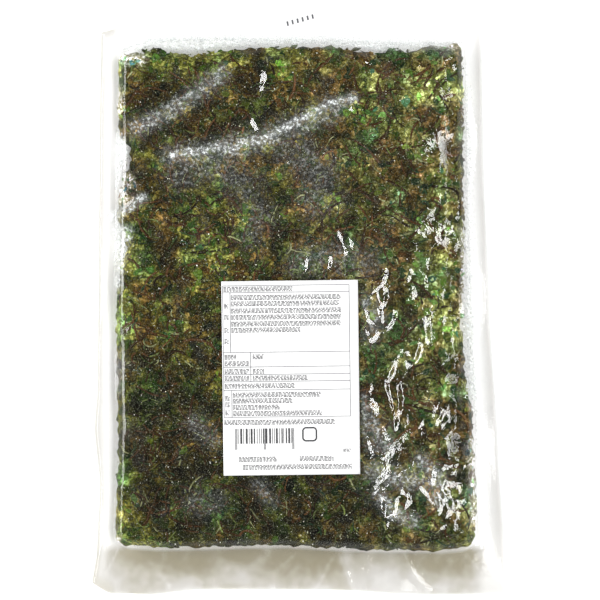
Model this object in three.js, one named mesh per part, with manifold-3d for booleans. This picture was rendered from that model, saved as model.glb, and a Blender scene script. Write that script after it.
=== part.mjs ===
// A clear vacuum pouch of chopped pickled kombu, lying on its back film.
// Millimetres, +Z up. +Y runs from the pouch's bottom seal to its top seal, +X to the reader's right
// when the label is read, and the origin is under the middle of the pouch, on the surface it lies on.
//
// The pouch is two films that are welded together round the rim. Between them lies one thick mat of
// chopped radish, cucumber and leaves in brine, with a tangle of dark kombu shreds pressed on top of
// it, and a paper label is stuck on the front film.
import * as THREE from "three";
import { mergeVertices } from "three/addons/utils/BufferGeometryUtils.js";
import Module from "manifold-3d";

const wasm = await Module();
wasm.setup();

// The pouch in plan: waypoints along each cut edge, and along each side of the filling
const HALF_WIDTH = 91.4;
const HALF_LENGTH = 129.6;
const HEAD_EDGE = [
  [-92, 117], [-69, 122.3], [-40, 126.6], [-11, 129.6], [8, 128.3], [30, 123.8], [54, 120.6], [92, 122.8],
];
const FOOT_EDGE = [
  [-92, -123], [-82, -129.2], [-64, -129.6], [-41, -127.2], [13, -127.6], [49, -129.6], [92, -129.6],
];
const LEFT_EDGE = [
  [-130, -91.4], [-113, -89.2], [-82, -87.8], [-58, -90.2], [-38, -88.8], [65, -88.1], [130, -87.3],
];
const RIGHT_EDGE = [[-130, 91.4], [-105, 89.5], [-66, 86.9], [0, 82.9], [65, 80.5], [130, 79.4]];
const FILL_HEAD_EDGE = [
  [-80, 110.6], [-68, 113.4], [-30, 114], [20, 113], [52, 112], [66, 112.6], [75, 115],
];
const FILL_FOOT_EDGE = [
  [-82, -108], [-60, -109.6], [-10, -108.4], [30, -110.4], [60, -110.6], [78, -108.6],
];
const FILL_LEFT_EDGE = [[-110, -81.6], [-60, -80.2], [0, -81.2], [60, -80], [114, -79.8]];
const FILL_RIGHT_EDGE = [[-110, 78.2], [-60, 77.2], [0, 75.2], [60, 73.2], [114, 72.6]];

// The pouch in section
const FILM = 0.3; // film thickness, three times life so that it stays a solid
const GAP = 0.3; // between pieces that touch
const SEAM_HEIGHT = 4.6; // where the two films meet round the filling
const MAT_THICKNESS = 12.6; // of the chopped mat, before its crown
const CROWN = 1.2; // extra thickness in the middle
const TOP_LAYER = 2.0; // between mat and front film, for the shreds and flakes
const LUMP = 0.7; // height of the soft lumps in the mat

// Rings round the filling, from its rim inwards: distance in, and the angle on the rounded shoulder
const SHOULDER = 14;
const SHOULDER_ANGLES = [0, 22, 42, 65, 90];
const CORNER_POWER = 3.2; // a superellipse's exponent: 2 is round, larger is squarer
const COLUMNS_INSIDE = 8;
const ROWS_INSIDE = 12;
const FLANGE_STEPS = 2;

// The label
const LABEL_WIDTH = 59.6;
const LABEL_LENGTH = 84.8;
const LABEL_CENTRE = new THREE.Vector2(-4.0, -34.2);
const LABEL_TURN = 0.7; // degrees
const LABEL_THICKNESS = 0.25;

// Kombu shreds, and the flakes and dice that stand out of the mat
const KNOT_ROWS = 6;
const KNOT_COLUMNS = 4;
const SHRED_WIDTH = 2.0;
const SHRED_THICKNESS = 0.7;
const SHRED_STEP = 9.5; // length of each straight stretch
const SHRED_BOW = 13; // widest bow of a shred between two knots
const SHRED_SWAY = 6;
const SHRED_MARGIN = 11; // shreds stay this far inside the rim of the filling
const LEAF_FLAKES = 70;
const RADISH_DICE = 100;
const PIECE_RISE = 1.15; // how far a flake or a die stands out of the mat
const TIDY_EDGE = 0.05; // smallest detail kept where solids join

// Seeded random numbers from 0 to 1
function randomFrom(seed) {
  let state = seed >>> 0;
  return () => {
    state = (state + 0x6d2b79f5) >>> 0;
    let t = Math.imul(state ^ (state >>> 15), 1 | state);
    t = (t + Math.imul(t ^ (t >>> 7), 61 | t)) ^ t;
    return ((t ^ (t >>> 14)) >>> 0) / 4294967296;
  };
}

const { lerp, clamp, degToRad, smoothstep } = THREE.MathUtils;

// The height at place x of a smooth line through waypoints [x, height]
function through(waypoints, x) {
  const next = waypoints.findIndex(([place]) => place > x);
  if (next === -1) return waypoints[waypoints.length - 1][1];
  if (next === 0) return waypoints[0][1];
  const [[x0, h0], [x1, h1]] = [waypoints[next - 1], waypoints[next]];
  return lerp(h0, h1, 0.5 * ((x - x0) / (x1 - x0) + smoothstep(x, x0, x1)));
}

// One grid serves every sheet, so that neighbours never cross. Ring 0 is the pouch's cut edge,
// ring FLANGE_STEPS the rim of the filling, and the last ring bounds the plateau.
const RIM = FLANGE_STEPS;
const PLATEAU = RIM + SHOULDER_ANGLES.length - 1;
const COLUMNS = 2 * PLATEAU + COLUMNS_INSIDE;
const ROWS = 2 * PLATEAU + ROWS_INSIDE;

const ringInset = (ring) => SHOULDER * (1 - Math.cos(degToRad(SHOULDER_ANGLES[ring - RIM])));

// The place of grid line number index, of count, between the outer and inner outlines given.
function linePlace(index, count, outerLow, innerLow, innerHigh, outerHigh) {
  const ring = Math.min(index, count - index);
  const low = index * 2 < count;
  if (ring < RIM) {
    const share = ring / RIM;
    return low ? lerp(outerLow, innerLow, share) : lerp(outerHigh, innerHigh, share);
  }
  if (ring < PLATEAU)
    return low ? innerLow + ringInset(ring) : innerHigh - ringInset(ring);
  const share = (index - PLATEAU) / (count - 2 * PLATEAU);
  return lerp(innerLow + SHOULDER, innerHigh - SHOULDER, share);
}

// A first place of each grid line, which only serves to read the edges at the right share of the way
const FIRST_X = [-89, -80.6, 75, 86];
const FIRST_Y = [-128, -109.6, 113, 125];
const firstX = (i) => linePlace(i, COLUMNS, ...FIRST_X);
const firstY = (j) => linePlace(j, ROWS, ...FIRST_Y);

function columnX(i, y) {
  const edges = [LEFT_EDGE, FILL_LEFT_EDGE, FILL_RIGHT_EDGE, RIGHT_EDGE];
  return linePlace(i, COLUMNS, ...edges.map((edge) => through(edge, y)));
}

function rowY(j, x) {
  const edges = [FOOT_EDGE, FILL_FOOT_EDGE, FILL_HEAD_EDGE, HEAD_EDGE];
  return linePlace(j, ROWS, ...edges.map((edge) => through(edge, x)));
}

// Grid node (i, j) in plan. Rings round the filling have superellipse corners, and the cut edge
// of the pouch keeps square ones.
function nodePlace(i, j) {
  const [x, y] = [firstX(i), firstY(j)];
  const ringX = Math.min(i, COLUMNS - i);
  const ringY = Math.min(j, ROWS - j);
  const place = new THREE.Vector2(columnX(i, y), rowY(j, x));
  if (ringX >= PLATEAU || ringY >= PLATEAU) return place;
  const cornerI = i * 2 < COLUMNS ? PLATEAU : COLUMNS - PLATEAU;
  const cornerJ = j * 2 < ROWS ? PLATEAU : ROWS - PLATEAU;
  const ring = Math.min(ringX, ringY);
  const ringI = i * 2 < COLUMNS ? ring : COLUMNS - ring;
  const ringJ = j * 2 < ROWS ? ring : ROWS - ring;
  const corner = new THREE.Vector2(columnX(cornerI, y), rowY(cornerJ, x));
  const p = Math.abs((place.x - corner.x) / (columnX(ringI, y) - corner.x));
  const q = Math.abs((place.y - corner.y) / (rowY(ringJ, x) - corner.y));
  const rounded = (p ** CORNER_POWER + q ** CORNER_POWER) ** (-1 / CORNER_POWER);
  const roundness = clamp(ring / RIM, 0, 1) ** 2;
  return corner.lerp(place, lerp(1, rounded, roundness));
}

// Soft lumps of the mat, which fade out under the stiff label
function lumpsAt(x, y) {
  const waves =
    Math.sin(0.121 * x + 0.063 * y + 0.6) * Math.cos(0.094 * y - 0.051 * x) +
    0.7 * Math.sin(0.162 * y - 0.083 * x + 2.1) * Math.cos(0.139 * x + 0.4);
  const beyondX = Math.abs(x - LABEL_CENTRE.x) - LABEL_WIDTH / 2;
  const beyondY = Math.abs(y - LABEL_CENTRE.y) - LABEL_LENGTH / 2;
  return LUMP * waves * smoothstep(Math.max(beyondX, beyondY), 0, 20);
}

const crownAt = (x, y) => CROWN * (1 - (x / HALF_WIDTH) ** 2) * (1 - (y / HALF_LENGTH) ** 2);

// The rim's height: level at the filling, then drooping towards the table with shallow waves
function flangeHeight(x, y, outwards) {
  const along = Math.sin(0.11 * y + 0.09 * x) + 0.6 * Math.sin(0.23 * x - 0.07 * y + 1.3);
  return SEAM_HEIGHT - 2.2 * outwards ** 1.5 + 0.75 * outwards * along;
}

// Every height that the sheets need at one grid node
function sectionAt(i, j) {
  const { x, y } = nodePlace(i, j);
  const ring = Math.min(i, COLUMNS - i, j, ROWS - j);
  const angle = degToRad(SHOULDER_ANGLES[clamp(ring, RIM, PLATEAU) - RIM]);
  const rise = Math.sin(angle);
  const steepness = 1 + 1.1 * Math.max(0, Math.cos(angle)) * (ring >= RIM ? 1 : 0);
  const film = FILM * steepness;
  const outwards = clamp(1 - ring / RIM, 0, 1);
  const seam = flangeHeight(x, y, outwards);
  const backBottom = seam * (1 - rise);
  const backTop = backBottom + film;
  const matTop = FILM + GAP + MAT_THICKNESS + crownAt(x, y) + lumpsAt(x, y);
  const frontBottom = lerp(backTop + GAP, matTop + TOP_LAYER, rise);
  return { x, y, backBottom, backTop, frontBottom, frontTop: frontBottom + film };
}

const sections = [];
for (let j = 0; j <= ROWS; j++) {
  sections.push([]);
  for (let i = 0; i <= COLUMNS; i++) sections[j].push(sectionAt(i, j));
}

// A closed sheet over a grid of {x, y, low, high} points, given as rows
function closedSheet(rows) {
  const columns = rows[0].length;
  const positions = [];
  for (const side of ["low", "high"])
    for (const row of rows) for (const p of row) positions.push(p.x, p.y, p[side]);
  const upper = rows.length * columns;
  const index = [];
  const quad = (a, b, c, d) => index.push(a, b, c, a, c, d);
  for (let j = 0; j + 1 < rows.length; j++)
    for (let i = 0; i + 1 < columns; i++) {
      const a = j * columns + i;
      const [b, c, d] = [a + 1, a + columns + 1, a + columns];
      quad(upper + a, upper + b, upper + c, upper + d);
      index.push(a, c, b, a, d, c);
    }
  const last = (rows.length - 1) * columns;
  for (let i = 0; i + 1 < columns; i++) {
    quad(i, i + 1, upper + i + 1, upper + i);
    quad(last + i + 1, last + i, upper + last + i, upper + last + i + 1);
  }
  for (let j = 0; j + 1 < rows.length; j++) {
    const [left, right] = [j * columns, j * columns + columns - 1];
    quad(left + columns, left, upper + left, upper + left + columns);
    quad(right, right + columns, upper + right + columns, upper + right);
  }
  const geometry = new THREE.BufferGeometry();
  geometry.setAttribute("position", new THREE.Float32BufferAttribute(positions, 3));
  geometry.setIndex(index);
  return geometry;
}

const sheetBetween = (low, high, from = 0) =>
  closedSheet(
    sections
      .slice(from, sections.length - from)
      .map((row) =>
        row.slice(from, row.length - from).map((p) => ({ x: p.x, y: p.y, low: low(p), high: high(p) })),
      ),
  );

const piece = (geometry, name, colour, finish) => {
  geometry.computeVertexNormals();
  const mesh = new THREE.Mesh(geometry, new THREE.MeshStandardMaterial({ color: colour, ...finish }));
  mesh.name = name;
  return mesh;
};

// Solids of the joining library, from geometry and back
function solidFrom(geometry) {
  const bare = geometry.clone();
  for (const name of ["normal", "uv"]) bare.deleteAttribute(name);
  const merged = mergeVertices(bare, 1e-4);
  return new wasm.Manifold(
    new wasm.Mesh({
      numProp: 3,
      vertProperties: new Float32Array(merged.attributes.position.array),
      triVerts: new Uint32Array(merged.index.array),
    }),
  );
}

function geometryFrom(solid) {
  const mesh = solid.getMesh();
  const geometry = new THREE.BufferGeometry();
  geometry.setAttribute("position", new THREE.BufferAttribute(mesh.vertProperties, mesh.numProp));
  geometry.setIndex(new THREE.BufferAttribute(mesh.triVerts, 1));
  return geometry;
}

// Joins solids, keeps the largest body and drops edges shorter than TIDY_EDGE that don't matter
function joined(solids) {
  const bodies = wasm.Manifold.union(solids).decompose();
  const largest = bodies.reduce((best, body) => (body.volume() > best.volume() ? body : best));
  return largest.asOriginal().simplify(TIDY_EDGE);
}

// The chopped mat's plain slab, one ring inside the rim
const slab = sheetBetween(
  (p) => p.backTop + GAP,
  (p) => p.frontBottom - TOP_LAYER,
  RIM + 1,
);

// Where a plumb line at (x, y) meets a surface from above, with the surface's normal there
function surfaceUnder(mesh) {
  mesh.updateMatrixWorld();
  const ray = new THREE.Raycaster();
  return (x, y) => {
    ray.set(new THREE.Vector3(x, y, 100), new THREE.Vector3(0, 0, -1));
    const [hit] = ray.intersectObject(mesh);
    return hit && { z: hit.point.z, normal: hit.face.normal };
  };
}

const onSlab = surfaceUnder(new THREE.Mesh(slab));

// How far a point lies inside the filling's plan
function insetAt(x, y) {
  const besides = [x - through(FILL_LEFT_EDGE, y), through(FILL_RIGHT_EDGE, y) - x];
  const beyond = [y - through(FILL_FOOT_EDGE, x), through(FILL_HEAD_EDGE, x) - y];
  return Math.min(...besides, ...beyond);
}

// One kombu shred: a bowed path from one knot past another, with its ends carried on beyond them
function shredPath(random, from, to) {
  const along = to.clone().sub(from);
  const across = new THREE.Vector2(-along.y, along.x).normalize();
  const bow = (2 * random() - 1) * SHRED_BOW;
  const sway = (2 * random() - 1) * SHRED_SWAY;
  const ends = [0.1 + 0.22 * random(), 1.1 + 0.22 * random()];
  const steps = Math.round(((ends[0] + ends[1]) * along.length()) / SHRED_STEP);
  const points = [];
  for (let k = 0; k <= steps; k++) {
    const share = lerp(-ends[0], ends[1], k / steps);
    const off = 2 * bow * share * (1 - share) + sway * Math.sin(2 * Math.PI * share);
    const p = from.clone().addScaledVector(along, share).addScaledVector(across, off);
    if (insetAt(p.x, p.y) > SHRED_MARGIN) points.push(p);
  }
  return points;
}

// How far the mat stands over a straight chord that is laid on it between two points
function crownOverChord(from, to) {
  const [low, high] = [from, to].map((p) => onSlab(p.x, p.y).z);
  const over = [0.25, 0.5, 0.75].map((share) => {
    const p = from.clone().lerp(to, share);
    return onSlab(p.x, p.y).z - lerp(low, high, share);
  });
  return Math.max(0, ...over);
}

// A ribbon of SHRED_WIDTH by SHRED_THICKNESS that lies along such a path, its ends cut square
function shredRibbon(points, lift) {
  const last = points.length - 1;
  const edges = [-1, 1].map((side) =>
    points.map((p, k) => {
      const along = points[Math.min(k + 1, last)].clone().sub(points[Math.max(k - 1, 0)]);
      const across = new THREE.Vector2(-along.y, along.x).setLength((side * SHRED_WIDTH) / 2);
      return p.clone().add(across);
    }),
  );
  const chordCrown = (k) => Math.max(...edges.map((edge) => crownOverChord(edge[k], edge[k + 1])));
  const crowns = points.slice(1).map((_, k) => chordCrown(k));
  const rows = edges.map((edge) =>
    edge.map(({ x, y }, k) => {
      const crown = Math.max(crowns[Math.max(k - 1, 0)], crowns[Math.min(k, last - 1)]);
      const low = onSlab(x, y).z + crown + GAP + lift;
      return { x, y, low, high: low + SHRED_THICKNESS };
    }),
  );
  return closedSheet(rows);
}

// Knots lie spread over the mat in uneven rows, and shreds run between neighbouring knots, so that
// the whole tangle hangs together
const shredRandom = randomFrom(1730);
const knots = [];
for (let row = 0; row < KNOT_ROWS; row++)
  for (let column = 0; column < KNOT_COLUMNS; column++) {
    const across = (column + 0.5 + 0.5 * (shredRandom() - 0.5)) / KNOT_COLUMNS;
    const up = (row + 0.5 + 0.5 * (shredRandom() - 0.5)) / KNOT_ROWS;
    knots.push(new THREE.Vector2(lerp(FIRST_X[1], FIRST_X[2], across), lerp(FIRST_Y[1], FIRST_Y[2], up)));
  }
const shredRibbons = [];
function addShred(from, to) {
  const path = shredPath(shredRandom, knots[from], knots[to]);
  if (path.length > 3) shredRibbons.push(solidFrom(shredRibbon(path, 0.3 * (shredRibbons.length % 2))));
}
for (let row = 0; row < KNOT_ROWS; row++)
  for (let column = 0; column < KNOT_COLUMNS; column++) {
    const here = row * KNOT_COLUMNS + column;
    if (column + 1 < KNOT_COLUMNS) addShred(here, here + 1);
    if (row + 1 < KNOT_ROWS) addShred(here, here + KNOT_COLUMNS);
    if (column && row + 1 < KNOT_ROWS && shredRandom() < 0.35) addShred(here, here + KNOT_COLUMNS - 1);
  }
const tangle = joined(shredRibbons);
const tangleMesh = piece(geometryFrom(tangle), "kombu_shreds", 0x2a2013, { roughness: 0.45, metalness: 0 });

// A prism over an outline, standing PIECE_RISE out of the mat and sunk as deep into it. Where the
// mat curves too much for it to stay under the front film there is none.
function standingPrism(outline, x, y, turn) {
  const depth = 2.2 * PIECE_RISE;
  const prism = new THREE.ExtrudeGeometry(new THREE.Shape(outline), { depth, bevelEnabled: false });
  prism.translate(0, 0, PIECE_RISE - depth);
  prism.rotateZ(turn);
  const { z, normal } = onSlab(x, y);
  prism.applyQuaternion(new THREE.Quaternion().setFromUnitVectors(new THREE.Vector3(0, 0, 1), normal));
  prism.translate(x, y, z);
  const corner = new THREE.Vector3();
  for (let k = 0; k < prism.attributes.position.count; k++) {
    corner.fromBufferAttribute(prism.attributes.position, k);
    const below = onSlab(corner.x, corner.y);
    if (!below || corner.z - below.z > TOP_LAYER - GAP) return null;
  }
  return solidFrom(prism);
}

// A torn leaf's outline: long points and notches by turns round an ellipse
function leafOutline(random) {
  const long = 3.4 + 2.2 * random();
  const wide = long * (0.42 + 0.25 * random());
  return Array.from({ length: 7 }, (_, k) => {
    const a = ((k + 0.5 * random()) * 2 * Math.PI) / 7;
    const reach = k % 2 ? 0.66 : 1;
    return new THREE.Vector2(long * reach * Math.cos(a), wide * reach * Math.sin(a));
  });
}

// A radish die's outline: a lozenge with uneven corners
function dieOutline(random) {
  const half = 1.3 + 0.9 * random();
  return Array.from({ length: 4 }, (_, k) => {
    const a = ((k + 0.5) * Math.PI) / 2;
    const reach = half * (1.15 + 0.4 * random());
    return new THREE.Vector2(reach * Math.cos(a), reach * Math.sin(a));
  });
}

// Places count pieces at random on the mat, clear of the kombu
function scatter(count, outlineOf, radius, seed) {
  const random = randomFrom(seed);
  const made = [];
  for (let tries = 0; made.length < count && tries < 40 * count; tries++) {
    const x = lerp(FIRST_X[1], FIRST_X[2], random());
    const y = lerp(FIRST_Y[1], FIRST_Y[2], random());
    if (insetAt(x, y) < radius + 1.5) continue;
    const prism = standingPrism(outlineOf(random), x, y, 2 * Math.PI * random());
    if (prism && tangle.minGap(prism, 1) > GAP) made.push(prism);
  }
  return made;
}

const flakes = scatter(LEAF_FLAKES, leafOutline, 4.6, 405);
const dice = scatter(RADISH_DICE, dieOutline, 3.0, 611);
const mat = joined([solidFrom(slab), ...flakes, ...dice]);

// The films
const backFilm = sheetBetween(
  (p) => p.backBottom,
  (p) => p.backTop,
);
const frontFilm = sheetBetween(
  (p) => p.frontBottom,
  (p) => p.frontTop,
);
const clearFilm = { roughness: 0.12, metalness: 0, transparent: true, opacity: 0.3 };
const frontMesh = piece(frontFilm, "front_film", 0xeef0ec, clearFilm);

// The label follows the front film
const onFront = surfaceUnder(frontMesh);
function labelSheet(columns, rows) {
  const turn = degToRad(LABEL_TURN);
  const points = [];
  for (let j = 0; j <= rows; j++) {
    points.push([]);
    for (let i = 0; i <= columns; i++) {
      const p = new THREE.Vector2((i / columns - 0.5) * LABEL_WIDTH, (j / rows - 0.5) * LABEL_LENGTH);
      p.rotateAround(new THREE.Vector2(), turn).add(LABEL_CENTRE);
      const low = onFront(p.x, p.y).z + GAP;
      points[j].push({ x: p.x, y: p.y, low, high: low + LABEL_THICKNESS });
    }
  }
  return closedSheet(points);
}

const pouch = new THREE.Group();
pouch.name = "pickled_kombu_pouch";
pouch.add(
  piece(backFilm, "back_film", 0xe4e4de, clearFilm),
  frontMesh,
  piece(geometryFrom(mat), "chopped_pickle", 0x5d6130, { roughness: 0.5, metalness: 0 }),
  tangleMesh,
  piece(labelSheet(6, 8), "paper_label", 0xf7f7f5, { roughness: 0.6, metalness: 0 }),
);

// The origin is exactly under the middle
const middle = new THREE.Box3().setFromObject(pouch).getCenter(new THREE.Vector3());
for (const mesh of pouch.children) mesh.geometry.translate(-middle.x, -middle.y, 0);

export default pouch;
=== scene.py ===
# %% [markdown]
# # A vacuum pouch of chopped pickled kombu
# The real thing is a flat bag of two clear laminated films, welded round the rim, with all air
# drawn out. It is packed with a wet mash of chopped radish, cucumber and leaves, through which run
# dark shreds of kelp, and a paper label is stuck on its front.
#
# Everything here is worked out in millimetres as numpy arrays and turned into metres only when a
# mesh is made. The pouch's outline is repeated from the part's source, so that each fine piece
# lies where its plain solid lies.

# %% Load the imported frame
import bpy
import numpy as np
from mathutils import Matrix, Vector


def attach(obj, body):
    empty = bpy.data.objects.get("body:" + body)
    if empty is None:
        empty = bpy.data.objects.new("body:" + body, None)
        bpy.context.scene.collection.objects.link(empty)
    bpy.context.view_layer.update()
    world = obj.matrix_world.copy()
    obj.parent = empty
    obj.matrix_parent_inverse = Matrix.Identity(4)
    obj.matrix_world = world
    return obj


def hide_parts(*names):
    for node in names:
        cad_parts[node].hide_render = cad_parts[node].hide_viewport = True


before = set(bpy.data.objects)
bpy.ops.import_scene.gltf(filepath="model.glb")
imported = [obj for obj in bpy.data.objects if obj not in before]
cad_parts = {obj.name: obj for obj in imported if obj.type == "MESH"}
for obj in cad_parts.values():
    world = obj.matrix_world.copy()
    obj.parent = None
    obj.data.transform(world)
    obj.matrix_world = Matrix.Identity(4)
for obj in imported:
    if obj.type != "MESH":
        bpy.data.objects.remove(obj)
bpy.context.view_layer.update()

# %% [markdown]
# ## Waypoints and smooth numbers
# Each cut edge of the pouch, and each side of its filling, is a smooth line through a few
# measured waypoints. Wrinkles need smooth random heights. Blender has noise textures, but the mesh
# itself has to carry the wrinkles, so the noise is worked out here on whole arrays.

# %% Outline of the pouch and of its filling, in millimetres
HEAD_EDGE = [
    (-92, 117), (-69, 122.3), (-40, 126.6), (-11, 129.0), (8, 128.0), (30, 123.8), (54, 120.6),
    (92, 122.8),
]
FOOT_EDGE = [
    (-92, -123), (-82, -129.2), (-64, -129.6), (-41, -127.2), (13, -127.6), (49, -129.6), (92, -129.6),
]
LEFT_EDGE = [
    (-130, -91.4), (-113, -89.2), (-82, -87.8), (-58, -90.2), (-38, -88.8), (65, -88.1), (130, -87.3),
]
RIGHT_EDGE = [(-130, 91.4), (-105, 89.5), (-66, 86.9), (0, 82.9), (65, 80.5), (130, 79.4)]
FILL_HEAD = [(-80, 110.6), (-68, 113.4), (-30, 114), (20, 113), (52, 112), (66, 112.6), (75, 115)]
FILL_FOOT = [(-82, -108), (-60, -109.6), (-10, -108.4), (30, -110.4), (60, -110.6), (78, -108.6)]
FILL_LEFT = [(-110, -81.6), (-60, -80.2), (0, -81.2), (60, -80), (114, -79.8)]
FILL_RIGHT = [(-110, 78.2), (-60, 77.2), (0, 75.2), (60, 73.2), (114, 72.6)]
FILL_EDGES = (FILL_LEFT, FILL_RIGHT, FILL_FOOT, FILL_HEAD)
# The mash itself doesn't fill the pouch everywhere: clear pockets stay at the head and the sides
MASH_HEAD = [
    (-80, 107.5), (-70, 108), (-64, 110.5), (-58, 108), (-47, 107), (-36, 108.6), (-20, 110.2),
    (0, 110.4), (14, 111.2), (20, 109.6), (36, 107.4), (43, 110), (50, 108.4), (58, 111), (66, 110.6),
    (74, 112.6),
]
MASH_FOOT = [(-82, -107.6), (-60, -109), (-10, -107.9), (30, -109.8), (60, -110), (78, -108)]
MASH_LEFT = [
    (-110, -80.9), (-60, -79.7), (-20, -80.4), (0, -80.5), (12, -79.2), (24, -76), (33, -77.6),
    (40, -80.2), (45, -79.6), (52, -77.2), (58, -76), (65, -73.4), (71, -75), (76, -79.4), (82, -79.9),
    (114, -79.2),
]
MASH_RIGHT = [
    (-110, 76.6), (-88, 77), (-66, 76), (-50, 75.4), (-43, 73.6), (-35, 72.4), (-20, 71.6), (-9, 70.6),
    (5, 71.4), (21, 72), (43, 71.4), (80, 71.6), (104, 71.4), (114, 71.6),
]
MASH_EDGES = (MASH_LEFT, MASH_RIGHT, MASH_FOOT, MASH_HEAD)
MIDDLE = np.array([0.039, -0.27])  # what the part's source takes off to centre the pouch
# Rough places of the cut edges and of the rim, from which the grid's crossing lines are started
FIRST_X = (-89, -80.6, 75, 86)
FIRST_Y = (-128, -109.6, 113, 125)

HALF_WIDTH, HALF_LENGTH = 91.4, 129.6
FILM_THICKNESS = 0.12
SHOULDER = 10.0
MASH_SHOULDER = 5.0
CORNER_POWER = 3.2
SECTION_POWER = 2.4
SEAM_HEIGHT = 4.6
FRONT_OVER_SEAM = 0.45
BACK_OVER_TABLE = 0.12
PLATEAU_TOP = 15.35
CROWN = 1.2
LUMP = 0.3
TOP_LIMIT = 17.1

LABEL_SIZE = (59.6, 84.8)
LABEL_CENTRE = (-4.0, -34.2)
LABEL_TURN = np.radians(0.7)


def smooth(x, low=0.0, high=1.0):
    """A soft step: 0 below low, 1 above high, and 3t^2 - 2t^3 between."""
    t = np.clip((x - low) / (high - low), 0, 1)
    return t * t * (3 - 2 * t)


def through(waypoints, x):
    """The height at x of a line through waypoints, half straight and half soft step."""
    places, heights = np.array(waypoints, float).T
    x = np.clip(x, places[0], places[-1])
    k = np.clip(np.searchsorted(places, x, side="right") - 1, 0, len(places) - 2)
    t = (x - places[k]) / (places[k + 1] - places[k])
    return heights[k] + (heights[k + 1] - heights[k]) * 0.5 * (t + t * t * (3 - 2 * t))


def lerp(a, b, t):
    return a + (b - a) * t


print("pouch outline", len(HEAD_EDGE) + len(FOOT_EDGE) + len(LEFT_EDGE) + len(RIGHT_EDGE), "waypoints")


# %% Smooth random heights
KNOTS = 64  # the random values repeat after this many lattice knots


def noise(x, y, wave, seed):
    """Gradient noise, about -1 to 1: random slopes at lattice knots a wave apart, blended softly."""
    angle = np.random.default_rng(seed).uniform(0, 2 * np.pi, (KNOTS, KNOTS))
    u, v = x / wave + 200.3, y / wave + 200.7  # so far off that no knot's number is negative
    i, j = np.floor(u).astype(int), np.floor(v).astype(int)
    fu, fv = u - i, v - j

    def from_knot(di, dj):
        a = angle[(i + di) % KNOTS, (j + dj) % KNOTS]
        return np.cos(a) * (fu - di) + np.sin(a) * (fv - dj)

    su, sv = smooth(fu), smooth(fv)
    low = lerp(from_knot(0, 0), from_knot(1, 0), su)
    high = lerp(from_knot(0, 1), from_knot(1, 1), su)
    return 1.5 * lerp(low, high, sv)


def cells(x, y, wave, seed):
    """How much further the second nearest of scattered points is than the nearest, and a random
    number that belongs to the nearest."""
    rng = np.random.default_rng(seed)
    jitter = rng.uniform(0.1, 0.9, (2, KNOTS, KNOTS))
    number = rng.uniform(0, 1, (KNOTS, KNOTS))
    u, v = x / wave + 200.0, y / wave + 200.0
    i, j = np.floor(u).astype(int), np.floor(v).astype(int)
    first = np.full(u.shape, 9.0)
    second = np.full(u.shape, 9.0)
    which = np.zeros(u.shape)
    for di in (-1, 0, 1):
        for dj in (-1, 0, 1):
            a, b = (i + di) % KNOTS, (j + dj) % KNOTS
            d = np.hypot(i + di + jitter[0][a, b] - u, j + dj + jitter[1][a, b] - v)
            nearer = d < first
            second = np.where(nearer, first, np.minimum(second, d))
            which = np.where(nearer, number[a, b], which)
            first = np.where(nearer, d, first)
    return (second - first) * wave, which


# %% [markdown]
# ## Where the film is creased
# Vacuum draws the film tight over the mash, and where there is too much film it stands up in sharp
# little ridges and loops. Some of these ridges were read off the photograph one by one, the rest
# are random. All are added up once on a fine square lattice, and every piece then reads its
# height from that lattice, so that film, mash and shreds keep together.

# %% Creases read off the photograph: height and half width in millimetres, then pixels on the way
PIXEL = 0.4385  # what one pixel of the photograph measures, in millimetres
PHOTO_MIDDLE = (299.5, 299.0)


def at(u, v):
    """The pouch's millimetres for a pixel of the photograph, which looks straight down."""
    return ((u - PHOTO_MIDDLE[0]) * PIXEL, (PHOTO_MIDDLE[1] - v) * PIXEL)


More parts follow.
